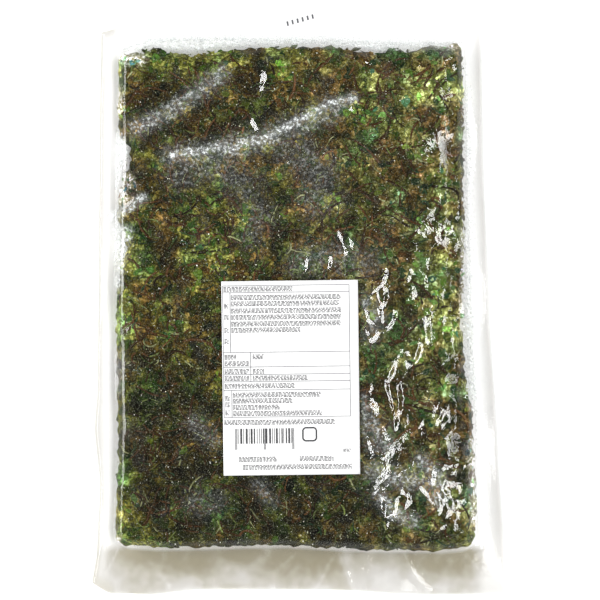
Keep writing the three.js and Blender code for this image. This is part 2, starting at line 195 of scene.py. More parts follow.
CREASES = [
    (0.60, 1.2, [(334, 231), (340, 242), (345, 255)]),
    (0.60, 1.2, [(347, 238), (350, 248)]),
    (0.60, 1.7, [(316, 249), (319, 253)]),
    (0.65, 1.2, [(305, 256), (303, 272)]),
    (0.65, 1.2, [(329, 255), (326, 269)]),
    (0.35, 0.8, [(393, 265), (397, 277), (403, 264)]),
    (0.45, 1.4, [(404, 281), (407, 277), (411, 272), (417, 280), (424, 285), (421, 273), (413, 273)]),
    (0.45, 1.7, [(410, 284), (412, 294), (415, 291)]),
    (0.50, 1.4, [(385, 268), (380, 285), (369, 293), (371, 305), (378, 312), (382, 328)]),
    (0.50, 1.4, [(382, 287), (384, 301), (378, 306), (375, 290)]),
    (0.50, 1.4, [(394, 309), (389, 324), (380, 330), (371, 324), (365, 322), (360, 327), (367, 336),
                (372, 337), (377, 329)]),
    (0.45, 1.4, [(358, 303), (362, 308), (366, 320)]),
    (0.50, 1.7, [(437, 231), (433, 241), (442, 245), (450, 253)]),
    (0.40, 0.9, [(454, 245), (461, 256)]),
    (0.50, 1.6, [(436, 257), (444, 268), (451, 279)]),
    (0.35, 0.8, [(426, 259), (425, 267)]),
    (0.35, 0.8, [(430, 267), (437, 258)]),
    (0.40, 0.9, [(396, 288), (403, 293), (409, 299)]),
    (0.30, 0.7, [(411, 305), (423, 310)]),
    (0.50, 1.7, [(424, 323), (426, 342)]),
    (0.50, 1.4, [(419, 340), (413, 361), (410, 356), (400, 352), (392, 360), (389, 374), (384, 380)]),
    (0.40, 0.8, [(401, 354), (407, 370), (418, 372)]),
    (0.40, 0.9, [(364, 380), (364, 387), (368, 393), (370, 381)]),
    (0.55, 1.7, [(383, 380), (385, 391), (391, 409), (394, 419), (391, 431)]),
    (0.50, 1.5, [(396, 383), (398, 406), (395, 417)]),
    (0.50, 1.5, [(383, 424), (379, 430), (387, 440)]),
    (0.45, 1.7, [(359, 409), (368, 406), (377, 406)]),
    (0.45, 1.5, [(360, 430), (364, 440), (369, 449)]),
    (0.50, 1.6, [(436, 404), (429, 418), (438, 419), (440, 406)]),
    (0.50, 1.7, [(443, 389), (456, 403), (454, 383)]),
    (0.40, 0.9, [(434, 431), (439, 437), (453, 433), (454, 441)]),
    (0.50, 1.7, [(440, 446), (437, 454), (453, 456), (449, 451)]),
    (0.50, 1.4, [(421, 471), (433, 483), (429, 466), (449, 466), (450, 474), (439, 486), (444, 493)]),
    (0.50, 1.5, [(413, 483), (423, 493), (436, 510), (440, 508), (437, 494), (430, 489)]),
    (0.55, 1.7, [(374, 499), (381, 500), (380, 510), (387, 518), (394, 508), (393, 499), (400, 494),
                (407, 497), (401, 507)]),
    (0.45, 1.5, [(344, 483), (348, 484)]),
    (0.30, 1.0, [(385, 462), (387, 463)]),
    (0.55, 1.2, [(115, 215), (127, 209), (143, 197)]),
    (0.40, 1.0, [(113, 229), (129, 228), (127, 242), (123, 253)]),
    (0.50, 0.9, [(138, 137), (131, 149)]),
    (0.60, 1.9, [(246, 117), (251, 127), (255, 137)]),
    (0.60, 1.9, [(255, 68), (262, 77), (256, 86), (259, 97)]),
    (0.60, 1.9, [(201, 210), (203, 214)]),
    (0.60, 1.9, [(284, 162), (287, 167)]),
    (0.35, 2.0, [(177, 153), (193, 152), (208, 150), (221, 146), (232, 151), (243, 142), (260, 142),
                (277, 132), (288, 127)]),
    (0.45, 2.0, [(345, 108), (350, 112)]),
]
FLAP_FOLDS = [
    (0.30, 1.1, [(337, 549), (316, 590)]),
    (0.30, 1.1, [(337, 549), (352, 590)]),
    (0.35, 1.1, [(404, 553), (414, 577), (431, 594)]),
    (0.35, 0.9, [(297, 552), (275, 572)]),
    (0.30, 1.4, [(158, 575), (166, 582), (171, 592)]),
    (0.30, 1.2, [(192, 576), (200, 582), (199, 590)]),
    (0.30, 1.6, [(118, 548), (100, 585)]),
    (0.30, 1.4, [(462, 550), (486, 578)]),
]
print(len(CREASES), "creases and", len(FLAP_FOLDS), "folds")

# %% Whitened film with painted glow, or clinging film: strength, half width, and pixels on the way
# Partly lifted, whitened film and partly painted highlight: some ways trace bright creases in white, and
# the broad ones at the lower right paint a glow round the highlights
MILKY = [
    (0.75, 1.6, [(172, 156), (193, 152), (208, 150), (221, 146), (232, 151), (243, 142), (260, 142),
                (277, 132), (300, 120), (330, 104), (352, 98)]),
    (0.22, 4.5, [(172, 158), (208, 153), (243, 146), (277, 136), (330, 110)]),
    (0.30, 3.0, [(136, 128), (160, 118), (190, 98), (222, 74)]),
    (0.08, 7.0, [(180, 172), (220, 166), (238, 178)]),
    (0.08, 8.0, [(290, 150), (320, 170), (315, 200)]),
    (0.09, 6.0, [(300, 262), (330, 256), (365, 262)]),
    (0.40, 1.8, [(150, 38), (190, 37), (250, 38), (330, 39), (392, 42), (440, 44)]),
    (0.25, 4.0, [(372, 470), (400, 478), (430, 480)]), (0.18, 5.0, [(360, 415), (380, 440)]),
    (0.60, 1.6, [(112, 216), (127, 209), (143, 197)]),
    (0.35, 1.6, [(116, 229), (129, 228), (127, 242), (121, 262), (117, 285)]),
    (0.34, 1.6, [(467, 90), (468, 140), (468, 200), (469, 260), (467, 310), (466, 350), (469, 380),
                (474, 410)]),
    (0.26, 2.8, [(418, 458), (438, 474), (436, 500)]),
    (0.28, 2.8, [(378, 492), (394, 514), (412, 520)]),
    (0.22, 3.0, [(360, 400), (372, 425), (386, 448)]),
    (0.16, 3.6, [(362, 300), (378, 318), (370, 336)]),
    (0.08, 4.0, [(194, 422), (206, 432), (214, 440)]),
    (0.07, 4.5, [(192, 500), (206, 506), (216, 500)]), (0.10, 3.0, [(258, 484), (270, 500)]),
    (0.06, 6.0, [(240, 190), (262, 214), (250, 236)]),
]
# Clinging to wet mash, where the film hardly shines
DULL = [
    (1.5, 3.2, [(444, 66), (447, 126)]), (1.5, 3.2, [(448, 146), (448, 216)]),
    (1.5, 3.2, [(449, 250), (452, 330)]), (1.3, 3.4, [(451, 350), (450, 372), (452, 392)]),
    (1.2, 3.0, [(456, 405), (456, 425)]), (1.3, 3.4, [(454, 436), (454, 454)]),
    (1.3, 3.0, [(119, 60), (120, 130)]), (1.3, 3.0, [(118, 300), (118, 345)]),
    (1.3, 3.0, [(118, 400), (118, 520)]),
]
print(len(MILKY), "milky and", len(DULL), "dull ways")

# %% Broad tones of the mash: strength, half width, and pixels on the way
DARK = [
    (0.80, 36.0, [(165, 430), (190, 520), (340, 525)]), (0.35, 16.0, [(150, 90), (200, 115)]),
    (0.8, 9.0, [(136, 108), (150, 98)]), (0.6, 7.0, [(171, 88), (160, 76)]),
    (0.8, 5.0, [(262, 68), (266, 100), (256, 132)]), (0.6, 7.0, [(160, 128), (205, 138), (250, 128)]),
    (0.7, 8.0, [(308, 136), (318, 180)]), (0.7, 8.0, [(156, 180), (196, 196)]),
    (0.6, 7.0, [(266, 195), (240, 180)]), (0.8, 8.0, [(271, 240), (290, 232)]),
    (0.6, 7.0, [(351, 195), (366, 230)]), (0.6, 6.0, [(151, 230), (176, 280)]),
    (0.6, 7.0, [(191, 350), (146, 352)]), (0.6, 8.0, [(161, 400), (150, 440)]),
    (0.8, 8.0, [(160, 470), (205, 482)]), (0.9, 10.0, [(262, 508), (300, 512)]),
    (0.8, 8.0, [(180, 530), (215, 540)]), (0.8, 9.0, [(330, 500), (350, 530)]),
    (0.5, 6.0, [(396, 300), (400, 335)]), (0.6, 7.0, [(381, 385), (446, 376)]),
    (0.7, 7.0, [(411, 455), (380, 450)]), (0.6, 6.0, [(462, 420), (461, 470)]),
    (0.6, 5.0, [(440, 536), (466, 532)]), (0.6, 6.0, [(340, 250), (330, 230)]),
    (0.5, 5.0, [(200, 300), (210, 330)]), (0.5, 6.0, [(300, 150), (330, 160)]),
]
OLIVE = [
    (0.7, 7.0, [(150, 64), (200, 66)]), (0.8, 9.0, [(380, 82), (446, 90)]),
    (0.8, 9.0, [(130, 250), (140, 262)]), (0.8, 8.0, [(126, 300), (128, 330)]),
    (0.8, 9.0, [(190, 246), (205, 240)]), (0.6, 6.0, [(128, 405), (126, 420)]),
    (0.9, 6.0, [(124, 480), (124, 500)]), (0.8, 6.0, [(126, 536), (180, 546)]),
    (0.9, 9.0, [(441, 312), (430, 300)]), (0.8, 9.0, [(446, 350), (436, 366)]),
    (0.7, 8.0, [(440, 265), (452, 240)]), (0.7, 8.0, [(370, 110), (400, 130)]),
    (0.6, 8.0, [(250, 60), (300, 62)]), (0.6, 7.0, [(340, 200), (330, 215)]),
    (0.7, 6.0, [(420, 200), (440, 190)]), (0.6, 8.0, [(395, 520), (420, 536)]),
    (0.6, 6.0, [(455, 500), (468, 540)]), (0.5, 8.0, [(200, 205), (240, 215)]),
]
GREEN = [
    (0.9, 4.0, [(165, 50), (160, 56)]), (0.8, 3.0, [(332, 49), (340, 52)]),
    (0.9, 4.0, [(394, 52), (398, 56)]), (0.9, 4.0, [(430, 50), (440, 54)]),
    (0.7, 4.0, [(366, 140), (372, 146)]), (0.8, 5.0, [(300, 268), (310, 262)]),
    (0.9, 6.0, [(388, 352), (400, 348)]), (0.7, 6.0, [(191, 495), (205, 500)]),
    (0.6, 5.0, [(231, 230), (240, 236)]), (0.7, 4.0, [(130, 232), (136, 226)]),
    (0.7, 5.0, [(120, 480), (124, 470)]), (0.6, 5.0, [(430, 280), (440, 275)]),
    (0.7, 5.0, [(148, 385), (150, 400)]), (0.6, 5.0, [(350, 145), (356, 150)]),
    (0.7, 3.5, [(124, 60), (120, 80)]), (0.6, 4.0, [(470, 490), (472, 505)]),
    (0.6, 6.0, [(230, 520), (240, 528)]), (0.6, 4.0, [(420, 220), (426, 226)]),
]
# Lighter stretches, mostly where the mash is thin at its margin
LIGHT = [
    (0.9, 5.0, [(120, 462), (121, 490), (120, 532)]), (0.6, 5.0, [(120, 300), (121, 345)]),
    (0.6, 3.0, [(130, 543), (200, 545)]), (0.5, 4.0, [(118, 66), (121, 104)]),
    (0.15, 8.0, [(440, 250), (448, 300), (440, 350)]), (0.35, 7.0, [(390, 340), (410, 372)]),
    (0.4, 8.0, [(150, 262), (172, 250)]), (0.4, 7.0, [(134, 420), (140, 440)]),
    (0.4, 9.0, [(400, 92), (440, 100)]), (0.4, 8.0, [(196, 498), (214, 506)]),
    (0.4, 4.0, [(466, 500), (470, 530)]), (0.4, 8.0, [(300, 215), (330, 225)]),
]
# Thin pale brine at the mash's margin
PALE = [
    (1.0, 2.2, [(119, 55), (128, 58), (140, 60)]), (1.0, 2.6, [(120, 190), (123, 197)]),
    (0.8, 1.8, [(128, 178), (131, 184)]), (0.8, 1.6, [(117, 90), (118, 110)]),
    (0.9, 1.6, [(116, 540), (117, 548)]), (0.8, 1.4, [(471, 440), (473, 520)]),
    (0.7, 1.6, [(118, 250), (118, 262)]), (0.8, 1.6, [(440, 44), (458, 44)]),
    (0.7, 1.4, [(463, 230), (463, 330)]),
]
print(sum(map(len, (DARK, OLIVE, GREEN, LIGHT, PALE))), "broad patches")

# %% The lattice of wrinkles
STEP = 0.5
lattice_x = np.arange(-94, 94 + STEP, STEP)
lattice_y = np.arange(-132, 132 + STEP, STEP)
LX, LY = np.meshgrid(lattice_x, lattice_y)


def window(points, reach):
    """The part of the lattice within reach of some points, and the x and y of its knots."""
    low, high = points.min(0) - reach, points.max(0) + reach
    i0, i1 = np.searchsorted(lattice_x, (low[0], high[0]))
    j0, j1 = np.searchsorted(lattice_y, (low[1], high[1]))
    part = np.s_[j0:j1, i0:i1]
    return part, LX[part], LY[part]


def nearest_on(points, x, y):
    """How far x, y lies from a way and to the right of it, where along it, and the way's length."""
    nearest, right_of, run = (np.full(x.shape, v) for v in (99.0, 0.0, 0.0))
    gone = 0.0
    for (ax, ay), (bx, by) in zip(points[:-1], points[1:]):
        size = np.hypot(bx - ax, by - ay)
        dx, dy = (bx - ax) / size, (by - ay) / size
        t = np.clip((x - ax) * dx + (y - ay) * dy, 0, size)
        d = np.hypot(x - ax - t * dx, y - ay - t * dy)
        side = ((x - ax) * dy - (y - ay) * dx) * (1 if dy > 0 else -1)
        closer = d < nearest
        nearest, right_of = np.where(closer, d, nearest), np.where(closer, side, right_of)
        run = np.where(closer, gone + t, run)
        gone += size
    return nearest, right_of, run, gone


def along_ways(ways):
    """Strength times exp(-(distance to the way / half width)^2), the largest of all ways."""
    total = np.zeros(LX.shape)
    for strength, half_width, pixels in ways:
        points = np.array([at(*p) for p in pixels])
        part, x, y = window(points, 3 * half_width)
        bump = strength * np.exp(-((nearest_on(points, x, y)[0] / half_width) ** 2))
        total[part] = np.maximum(total[part], bump)
    return total


def rounded_way(points):
    """The way with its corners cut twice, at a quarter and three quarters of each piece."""
    for _ in range(2):
        low, high = lerp(points[:-1], points[1:], 0.25), lerp(points[:-1], points[1:], 0.75)
        points = np.concatenate([points[:1], np.stack([low, high], 1).reshape(-1, 2)[1:-1], points[-1:]])
    return points


def crease_relief(ways):
    """Each crease's height: a bell across the way, steeper on its right, that fades at both ends."""
    total = np.zeros(LX.shape)
    for level, half_width, pixels in ways:
        points = rounded_way(np.array([at(*p) for p in pixels]))
        part, x, y = window(points, 5 * half_width)
        nearest, right_of, run, length = nearest_on(points, x, y)
        width = half_width * lerp(1.6, 0.8, smooth(right_of, -0.3, 0.3))
        ends = smooth(np.minimum(run, length - run), -0.9 * half_width, 2.0 * half_width)
        bump = 0.75 * level * half_width * ends * np.exp(-((nearest / width) ** 2))
        total[part] = np.maximum(total[part], bump)
    return total * (0.9 + 0.45 * noise(LX, LY, 5.0, 15))


def read(lattice, x, y):
    """The lattice's value at x, y, straight between its four nearest knots."""
    u = np.clip((x - lattice_x[0]) / STEP, 0, len(lattice_x) - 1.001)
    v = np.clip((y - lattice_y[0]) / STEP, 0, len(lattice_y) - 1.001)
    i, j = u.astype(int), v.astype(int)
    fu, fv = u - i, v - j
    low = lerp(lattice[j, i], lattice[j, i + 1], fu)
    return lerp(low, lerp(lattice[j + 1, i], lattice[j + 1, i + 1], fu), fv)


def off_label(x, y, fade=4.0):
    """0 under the label, rising softly to 1 at fade millimetres past its edge."""
    c, s = np.cos(LABEL_TURN), np.sin(LABEL_TURN)
    u = (x - LABEL_CENTRE[0]) * c + (y - LABEL_CENTRE[1]) * s
    v = (y - LABEL_CENTRE[1]) * c - (x - LABEL_CENTRE[0]) * s
    beyond = np.maximum(np.abs(u) - LABEL_SIZE[0] / 2, np.abs(v) - LABEL_SIZE[1] / 2)
    return smooth(beyond, 0, fade)


def mottle(wave, seed):
    """Smooth noise all over the lattice."""
    return noise(LX, LY, wave, seed)


# %% Wrinkles and folds
ridge_gap, _ = cells(LX + 2.2 * mottle(11, 31), LY + 2.2 * mottle(11, 32), 9.0, 5)
ridges = np.exp(-((ridge_gap / 1.2) ** 2)) * smooth(mottle(17, 14), -0.1, 0.4)
loose_lattice = smooth(LX, 5, 45) * (1 - 0.6 * smooth(LY, 40, 90)) + 0.5 * smooth(LX, 62, 72)
right_rim = smooth(LX, 60, 66) * smooth(78 - LX, 0, 4)
top_rim = smooth(LY, 102, 106) * smooth(116 - LY, 0, 4)
wrinkle_lattice = (
    0.10 * mottle(15, 11)
    + (0.04 + 0.13 * loose_lattice) * mottle(6.5, 12)
    + 0.035 * loose_lattice * mottle(3.4, 13)
    + 0.14 * loose_lattice * ridges
    + crease_relief(CREASES)
    + (0.80 * right_rim + 0.30 * top_rim) * noise(0.8 * LX, LY, 3.8, 16)
) * (0.04 + 0.96 * off_label(LX, LY)) - 0.5 * off_label(LX, LY, 14.0)
flap_lattice = along_ways(FLAP_FOLDS) + 0.15 * mottle(18, 21)
# Fold lines of the flap, along which the film gets a painted highlight
fold_line_lattice = along_ways([(1.0, 0.4, way) for _, _, way in FLAP_FOLDS])
print("wrinkles from", wrinkle_lattice.min().round(2), "to", wrinkle_lattice.max().round(2), "mm")


# %% Milkiness and painted glow of the film, and tones of the mash, each as a share from 0 to 1
def tone_lattice(base, strength, ways, *mottles):
    """Base and strength times the ways, with noises added, each of a strength, a wave and a seed."""
    mottled = sum(level * mottle(wave, seed) for level, wave, seed in mottles)
    return np.clip(base + strength * along_ways(ways) + mottled, 0, 1)


# Whitening of lifted film, with the painted glow and highlight along the ways above
lifted_film = along_ways(MILKY) * (0.8 + 0.5 * mottle(3.0, 41))
milk_lattice = np.clip(lifted_film + 0.012 * smooth(mottle(9, 43), 0.1, 0.8), 0, 1)
milk_lattice = milk_lattice * off_label(LX, LY, 2.0)
dark_lattice = tone_lattice(0, 0.8, DARK, (0.55, 9, 51), (0.35, 4.5, 52))
olive_lattice = tone_lattice(0, 0.9, OLIVE, (0.7, 12, 53), (0.3, 5, 54))
green_base = 0.06 + 0.10 * smooth(-LY, -50, 30)
green_lattice = tone_lattice(green_base, 0.9, GREEN, (0.9, 10, 55), (0.4, 4, 56))
light_lattice, dull_lattice = along_ways(LIGHT), along_ways(DULL)
pale_lattice = np.clip(along_ways(PALE) * (0.9 + 0.5 * mottle(4, 57)), 0, 1)
for tone, lattice in (("dark", dark_lattice), ("olive", olive_lattice), ("green", green_lattice)):
    print("mean share of", tone, lattice.mean().round(2))


# %% [markdown]
# ## The pouch's section
# In plan the filling is a rectangle with superellipse corners. In section it is a flat pillow: a
# level middle and a quarter-ellipse shoulder. So the height over any spot follows from how far the
# spot lies inside the rim, and no mesh has to be searched for it.

# %% Heights from the plan
def rim_share(x, y, edges=FILL_EDGES, inset=0.0, shoulder=SHOULDER):
    """0 on the plateau, 1 at the rim: the superellipse sum of how far x and y are into the shoulder."""
    left, right, foot, head = edges
    dx = np.minimum(x - through(left, y), through(right, y) - x) - inset
    dy = np.minimum(y - through(foot, x), through(head, x) - y) - inset
    a = np.clip(1 - dx / shoulder, 0, None)
    b = np.clip(1 - dy / shoulder, 0, None)
    return (a**CORNER_POWER + b**CORNER_POWER) ** (1 / CORNER_POWER)


def rise_from(share, power=SECTION_POWER):
    """The section's curve: (1 - share^power)^(1/power), a quarter ellipse at power 2."""
    return np.clip(1 - np.clip(share, 0, 1) ** power, 0, 1) ** (1 / power)


def shoulder_rise(x, y, share):
    """The section's curve, cut off by a straight slope that starts a wandering way into the shoulder."""
    start = 0.10 + 0.07 * noise(x, y, 11, 18) + 0.05 * noise(x, y, 5, 19)
    return np.minimum(rise_from(share), 1 - 0.34 * np.clip(share - start, 0, None) * (share < 0.9))


def lumps(x, y):
    """The pouch's soft lumps, two crossed waves that die away under the stiff label."""
    waves = np.sin(0.121 * x + 0.063 * y + 0.6) * np.cos(0.094 * y - 0.051 * x)
    waves = waves + 0.7 * np.sin(0.162 * y - 0.083 * x + 2.1) * np.cos(0.139 * x + 0.4)
    return LUMP * waves * off_label(x, y, 20.0)


def crown(x, y):
    return CROWN * (1 - (x / HALF_WIDTH) ** 2) * (1 - (y / HALF_LENGTH) ** 2)


def seam(x, y, outwards):
    """The rim's height: level at the filling, then drooping outwards with shallow waves and folds."""
    along = np.sin(0.11 * y + 0.09 * x) + 0.6 * np.sin(0.23 * x - 0.07 * y + 1.3)
    folds = read(flap_lattice, x, y)
    return SEAM_HEIGHT - 2.2 * outwards**1.5 + (0.75 * along + folds) * outwards


def front_height(x, y, rise, outwards=0.0):
    """The front film's middle surface, which bends over softly below the top limit."""
    top = PLATEAU_TOP + crown(x, y) + lumps(x, y) + read(wrinkle_lattice, x, y)
    spare = TOP_LIMIT - top
    top = TOP_LIMIT - 0.5 * (spare + np.sqrt(spare**2 + 0.01))
    return lerp(seam(x, y, outwards) + FRONT_OVER_SEAM, top, rise)


def back_height(x, y, rise, outwards=0.0):
    """The back film's middle surface, flat on the table under the plateau."""
    return lerp(seam(x, y, outwards) + BACK_OVER_TABLE, BACK_OVER_TABLE, rise)


def films_at(x, y):
    """Heights of the front and the back film over any spot inside the rim."""
    share = rim_share(x, y)
    return front_height(x, y, shoulder_rise(x, y, share)), back_height(x, y, rise_from(share))


def mash_surfaces(x, y):
    """The mash's upper and lower surface: just inside the films, rolled together at its own margin."""
    front_z, back_z = films_at(x, y)
    gap = front_z - back_z
    middle = back_z + 0.45 * gap
    roll = rise_from(rim_share(x, y, MASH_EDGES, 0.0, MASH_SHOULDER), 2.0)
    upper = lerp(middle, front_z - np.minimum(0.9, 0.25 * gap), roll)
    return upper, lerp(middle, back_z + np.minimum(0.5, 0.2 * gap), roll)


def mash_top(x, y):
    return mash_surfaces(x, y)[0]


def mash_bottom(x, y):
    return mash_surfaces(x, y)[1]


def slope_frame(height, x, y):
    """Two tangents and the normal of a height function, from its slopes over 0.6 mm, as rows."""
    e = 0.3
    zx = (height(x + e, y) - height(x - e, y)) / (2 * e)
    zy = (height(x, y + e) - height(x, y - e)) / (2 * e)
    zx, zy = np.clip(zx, -2.5, 2.5), np.clip(zy, -2.5, 2.5)
    normal = np.stack([-zx, -zy, np.ones_like(zx)], -1)
    normal /= np.linalg.norm(normal, axis=-1, keepdims=True)
    tangent = np.stack([np.ones_like(zx), np.zeros_like(zx), zx], -1)
    tangent /= np.linalg.norm(tangent, axis=-1, keepdims=True)
    return tangent, np.cross(normal, tangent), normal


spot = np.array([0.0]), np.array([60.0])
print("thickness over the middle", np.subtract(*films_at(*spot)).round(2), "mm")


# %% [markdown]
# ## From arrays to meshes
# Two helpers make every mesh. One closes a pair of grids into a thin shell, as films, label and mash
# need. The other copies a small template to many places at once, as chopped bits need. Blender's
# own scatter tools make instances, which an export can't keep, so the copies are real faces here.

# %% Mesh helpers
def mesh_piece(name, points, faces, node=None, smooth_faces=True, tint=None, values=None):
    """A mesh object from millimetre points and equal-sided faces, riding on the pouch."""
    mesh = bpy.data.meshes.new(name)
    faces = np.asarray(faces, np.int32)
    points = np.array(points, float).reshape(-1, 3)
    points[:, :2] -= MIDDLE
    metres = points * 0.001
    mesh.vertices.add(len(points))
    mesh.vertices.foreach_set("co", metres.ravel())
    mesh.loops.add(faces.size)
    mesh.loops.foreach_set("vertex_index", faces.ravel())
    mesh.polygons.add(len(faces))
    mesh.polygons.foreach_set("loop_start", np.arange(0, faces.size, faces.shape[1], dtype=np.int32))
    mesh.polygons.foreach_set("use_smooth", np.full(len(faces), smooth_faces))
    mesh.update(calc_edges=True)
    if tint is not None:
        layer = mesh.attributes.new("tint", "FLOAT_COLOR", "POINT")
        layer.data.foreach_set("color", np.c_[tint, np.ones(len(tint))].ravel())
    for key, value in (values or {}).items():
        layer = mesh.attributes.new(key, "FLOAT", "POINT")
        layer.data.foreach_set("value", np.asarray(value, float).ravel())
    piece = bpy.data.objects.new(name, mesh)
    bpy.context.scene.collection.objects.link(piece)
    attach(piece, "root")
    if node:
        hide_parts(node)
    print(name, len(points), "points,", len(faces) * (faces.shape[1] - 2), "triangles")
    return piece


def grid_faces(rows, columns):
    """Quads over a grid of points, facing up when x grows along a row and y from row to row."""
    k = np.arange(rows * columns).reshape(rows, columns)
    return np.stack([k[:-1, :-1], k[:-1, 1:], k[1:, 1:], k[1:, :-1]], -1).reshape(-1, 4)


def shell_faces(rows, columns):
    """An upper grid, a lower grid that is turned over, and a strip of quads round their rim."""
    upper = grid_faces(rows, columns)
    n = rows * columns
    k = np.arange(n).reshape(rows, columns)
    rim = np.concatenate([k[0, :-1], k[:-1, -1], k[-1, :0:-1], k[:0:-1, 0]])
    following = np.roll(rim, -1)
    strip = np.stack([rim + n, following + n, following, rim], -1)
    return np.concatenate([upper, upper[:, ::-1] + n, strip])


def grid_normals(points):
    """Unit normals of a grid of points: the cross product of its two central differences."""
    across = np.gradient(points, axis=1)
    along = np.gradient(points, axis=0)
    normal = np.cross(across, along)
    return normal / np.linalg.norm(normal, axis=-1, keepdims=True)


def copied_faces(faces, count, size):
    """The faces of count copies of size points each, one after another."""
    return (faces[None] + (np.arange(count) * size)[:, None, None]).reshape(-1, faces.shape[1])


def joined(parts):
    """Parts of points, faces and perhaps tints, one after another, with their faces renumbered."""
    starts = np.cumsum([0] + [len(part[0]) for part in parts[:-1]])
    numbered = [(part[0], part[1] + start, *part[2:]) for part, start in zip(parts, starts)]
    return [np.concatenate(column) for column in zip(*numbered)]


# %% The pouch's plan as a grid that follows every rim
def ring_lines(flange, shoulder, middle, denser=(0.5, 0.5)):
    """Ring and share of each grid line: ring 0 the cut edge, 1 the rim, 2 and on the plateau.

    The plateau's lines are evenly spaced, or denser after a bend: the first of the two numbers is
    the part of the lines that is used up to the second, a part of the way across."""
    on_flange, on_shoulder = np.arange(flange) / flange, 1 + np.arange(shoulder) / shoulder
    ramp = np.concatenate([on_flange, on_shoulder])
    level = np.interp(np.linspace(0, 1, middle + 1), [0, denser[0], 1], [0, denser[1], 1])
    ring = np.concatenate([ramp, np.full(middle + 1, 2.0), ramp[::-1]])
    share = np.concatenate([np.zeros(len(ramp)), level, np.ones(len(ramp))])
    return ring, share


def line_place(ring, share, outer_low, inner_low, inner_high, outer_high, shoulder):
    """Place of a grid line: straight over the flange, by cosine over the shoulder, then straight."""
    inset = shoulder * (1 - np.cos(np.clip(ring - 1, 0, 1) * np.pi / 2))
    low = np.where(ring < 1, lerp(outer_low, inner_low, np.clip(ring, 0, 1)), inner_low + inset)
    high = np.where(ring < 1, lerp(outer_high, inner_high, np.clip(ring, 0, 1)), inner_high - inset)
    level = lerp(inner_low + shoulder, inner_high - shoulder, share)
    return np.where(ring < 2, np.where(share < 0.5, low, high), level)


def plan_grid(across, along, edges=FILL_EDGES, shoulder=SHOULDER):
    """x, y and ring over the whole pouch, its corners rounded by the superellipse inside the rim."""
    left, right, foot, head = edges
    (ring_x, share_x), (ring_y, share_y) = ring_lines(*across), ring_lines(*along)
    first_x = line_place(ring_x, share_x, *FIRST_X, shoulder)[None, :]
    first_y = line_place(ring_y, share_y, *FIRST_Y, shoulder)[:, None]
    ring_x, share_x = ring_x[None, :], share_x[None, :]
    ring_y, share_y = ring_y[:, None], share_y[:, None]
    x_edges = [through(e, first_y) for e in (LEFT_EDGE, left, right, RIGHT_EDGE)] + [shoulder]
    y_edges = [through(e, first_x) for e in (FOOT_EDGE, foot, head, HEAD_EDGE)] + [shoulder]
    x = line_place(ring_x, share_x, *x_edges)
    y = line_place(ring_y, share_y, *y_edges)
    ring = np.minimum(ring_x, ring_y) + 0 * x
    corner = (ring_x < 2) & (ring_y < 2)
    end_x, end_y = np.where(share_x < 0.5, 0.0, 1.0), np.where(share_y < 0.5, 0.0, 1.0)
    corner_x, corner_y = line_place(2.0, end_x, *x_edges), line_place(2.0, end_y, *y_edges)
    ring_edge_x, ring_edge_y = line_place(ring, end_x, *x_edges), line_place(ring, end_y, *y_edges)
    p = np.abs(np.where(corner, (x - corner_x) / np.where(corner, ring_edge_x - corner_x, 1), 1))
    q = np.abs(np.where(corner, (y - corner_y) / np.where(corner, ring_edge_y - corner_y, 1), 1))
    rounded = (p**CORNER_POWER + q**CORNER_POWER) ** (-1 / CORNER_POWER)
    pull = np.where(corner, lerp(1, rounded, np.clip(ring, 0, 1) ** 2), 1)
    x = np.where(corner, corner_x + (x - corner_x) * pull, x)
    y = np.where(corner, corner_y + (y - corner_y) * pull, y)
    return x, y, ring


def whitened_pocket(x, y, outwards):
    """Milkiness of the narrow pocket between the mash's margin and the rim, in uneven clots."""
    beyond = smooth(rim_share(x, y, MASH_EDGES, 0.0, MASH_SHOULDER), 1.15, 1.6) * (outwards == 0)
    return beyond * np.clip(0.42 + 0.35 * noise(x, y, 3.5, 44), 0, 1)


def film_shell(name, node, height, across, along):
    """A film as a thin shell: its middle surface, moved half a thickness both ways along its normal."""
    x, y, ring = plan_grid(across, along)
    share = np.cos(np.clip(ring - 1, 0, 1) * np.pi / 2)
    outwards = np.clip(1 - ring, 0, 1)
    rise = rise_from(share) if height is back_height else shoulder_rise(x, y, share)
    middle = np.stack([x, y, height(x, y, rise, outwards)], -1)
    offset = grid_normals(middle) * FILM_THICKNESS / 2
    points = np.stack([middle + offset, middle - offset])
    welded = smooth(outwards, 0.0, 0.1) + read(dull_lattice, x, y)
    values = {
        "stain": stain_of_flange(x, y, outwards),
        "milk": np.maximum(read(milk_lattice, x, y), whitened_pocket(x, y, outwards)),
        "loose": 0.15 + read(loose_lattice, x, y),
        "weld": np.maximum(welded, smooth(-y, 98, 103)),
    }
    values = {key: np.stack([value, value]) for key, value in values.items()}
    return mesh_piece(name, points, shell_faces(*x.shape), node, values=values)


# %% Tone of the flange: film tint with painted shade and painted highlight
# Painted shade: each folded panel of the foot flap is made lighter or darker by its tone, as light falls
# on its facet
FLAP_PANELS = [
    (0.16, [(337, 548), (314, 596), (354, 596)]),
    (-0.30, [(341, 550), (404, 550), (434, 598), (354, 596)]),
    (0.10, [(300, 548), (336, 548), (312, 596), (270, 596)]),
    (-0.12, [(160, 575), (198, 577), (206, 596), (172, 596)]),
]


def inside_panel(x, y, pixels):
    """1 inside a convex panel with its corners in the photograph, 0 outside, 0.6 mm soft."""
    corners = np.array([at(*p) for p in pixels])
    if np.sum(np.cross(corners - corners[0], np.roll(corners, -1, 0) - corners[0])) < 0:
        corners = corners[::-1]
    depth = np.full(x.shape, 99.0)
    for (ax, ay), (bx, by) in zip(corners, np.roll(corners, -1, 0)):
        inwards = ((bx - ax) * (y - ay) - (by - ay) * (x - ax)) / np.hypot(bx - ax, by - ay)
        depth = np.minimum(depth, inwards)
    return smooth(depth, -0.3, 0.3)


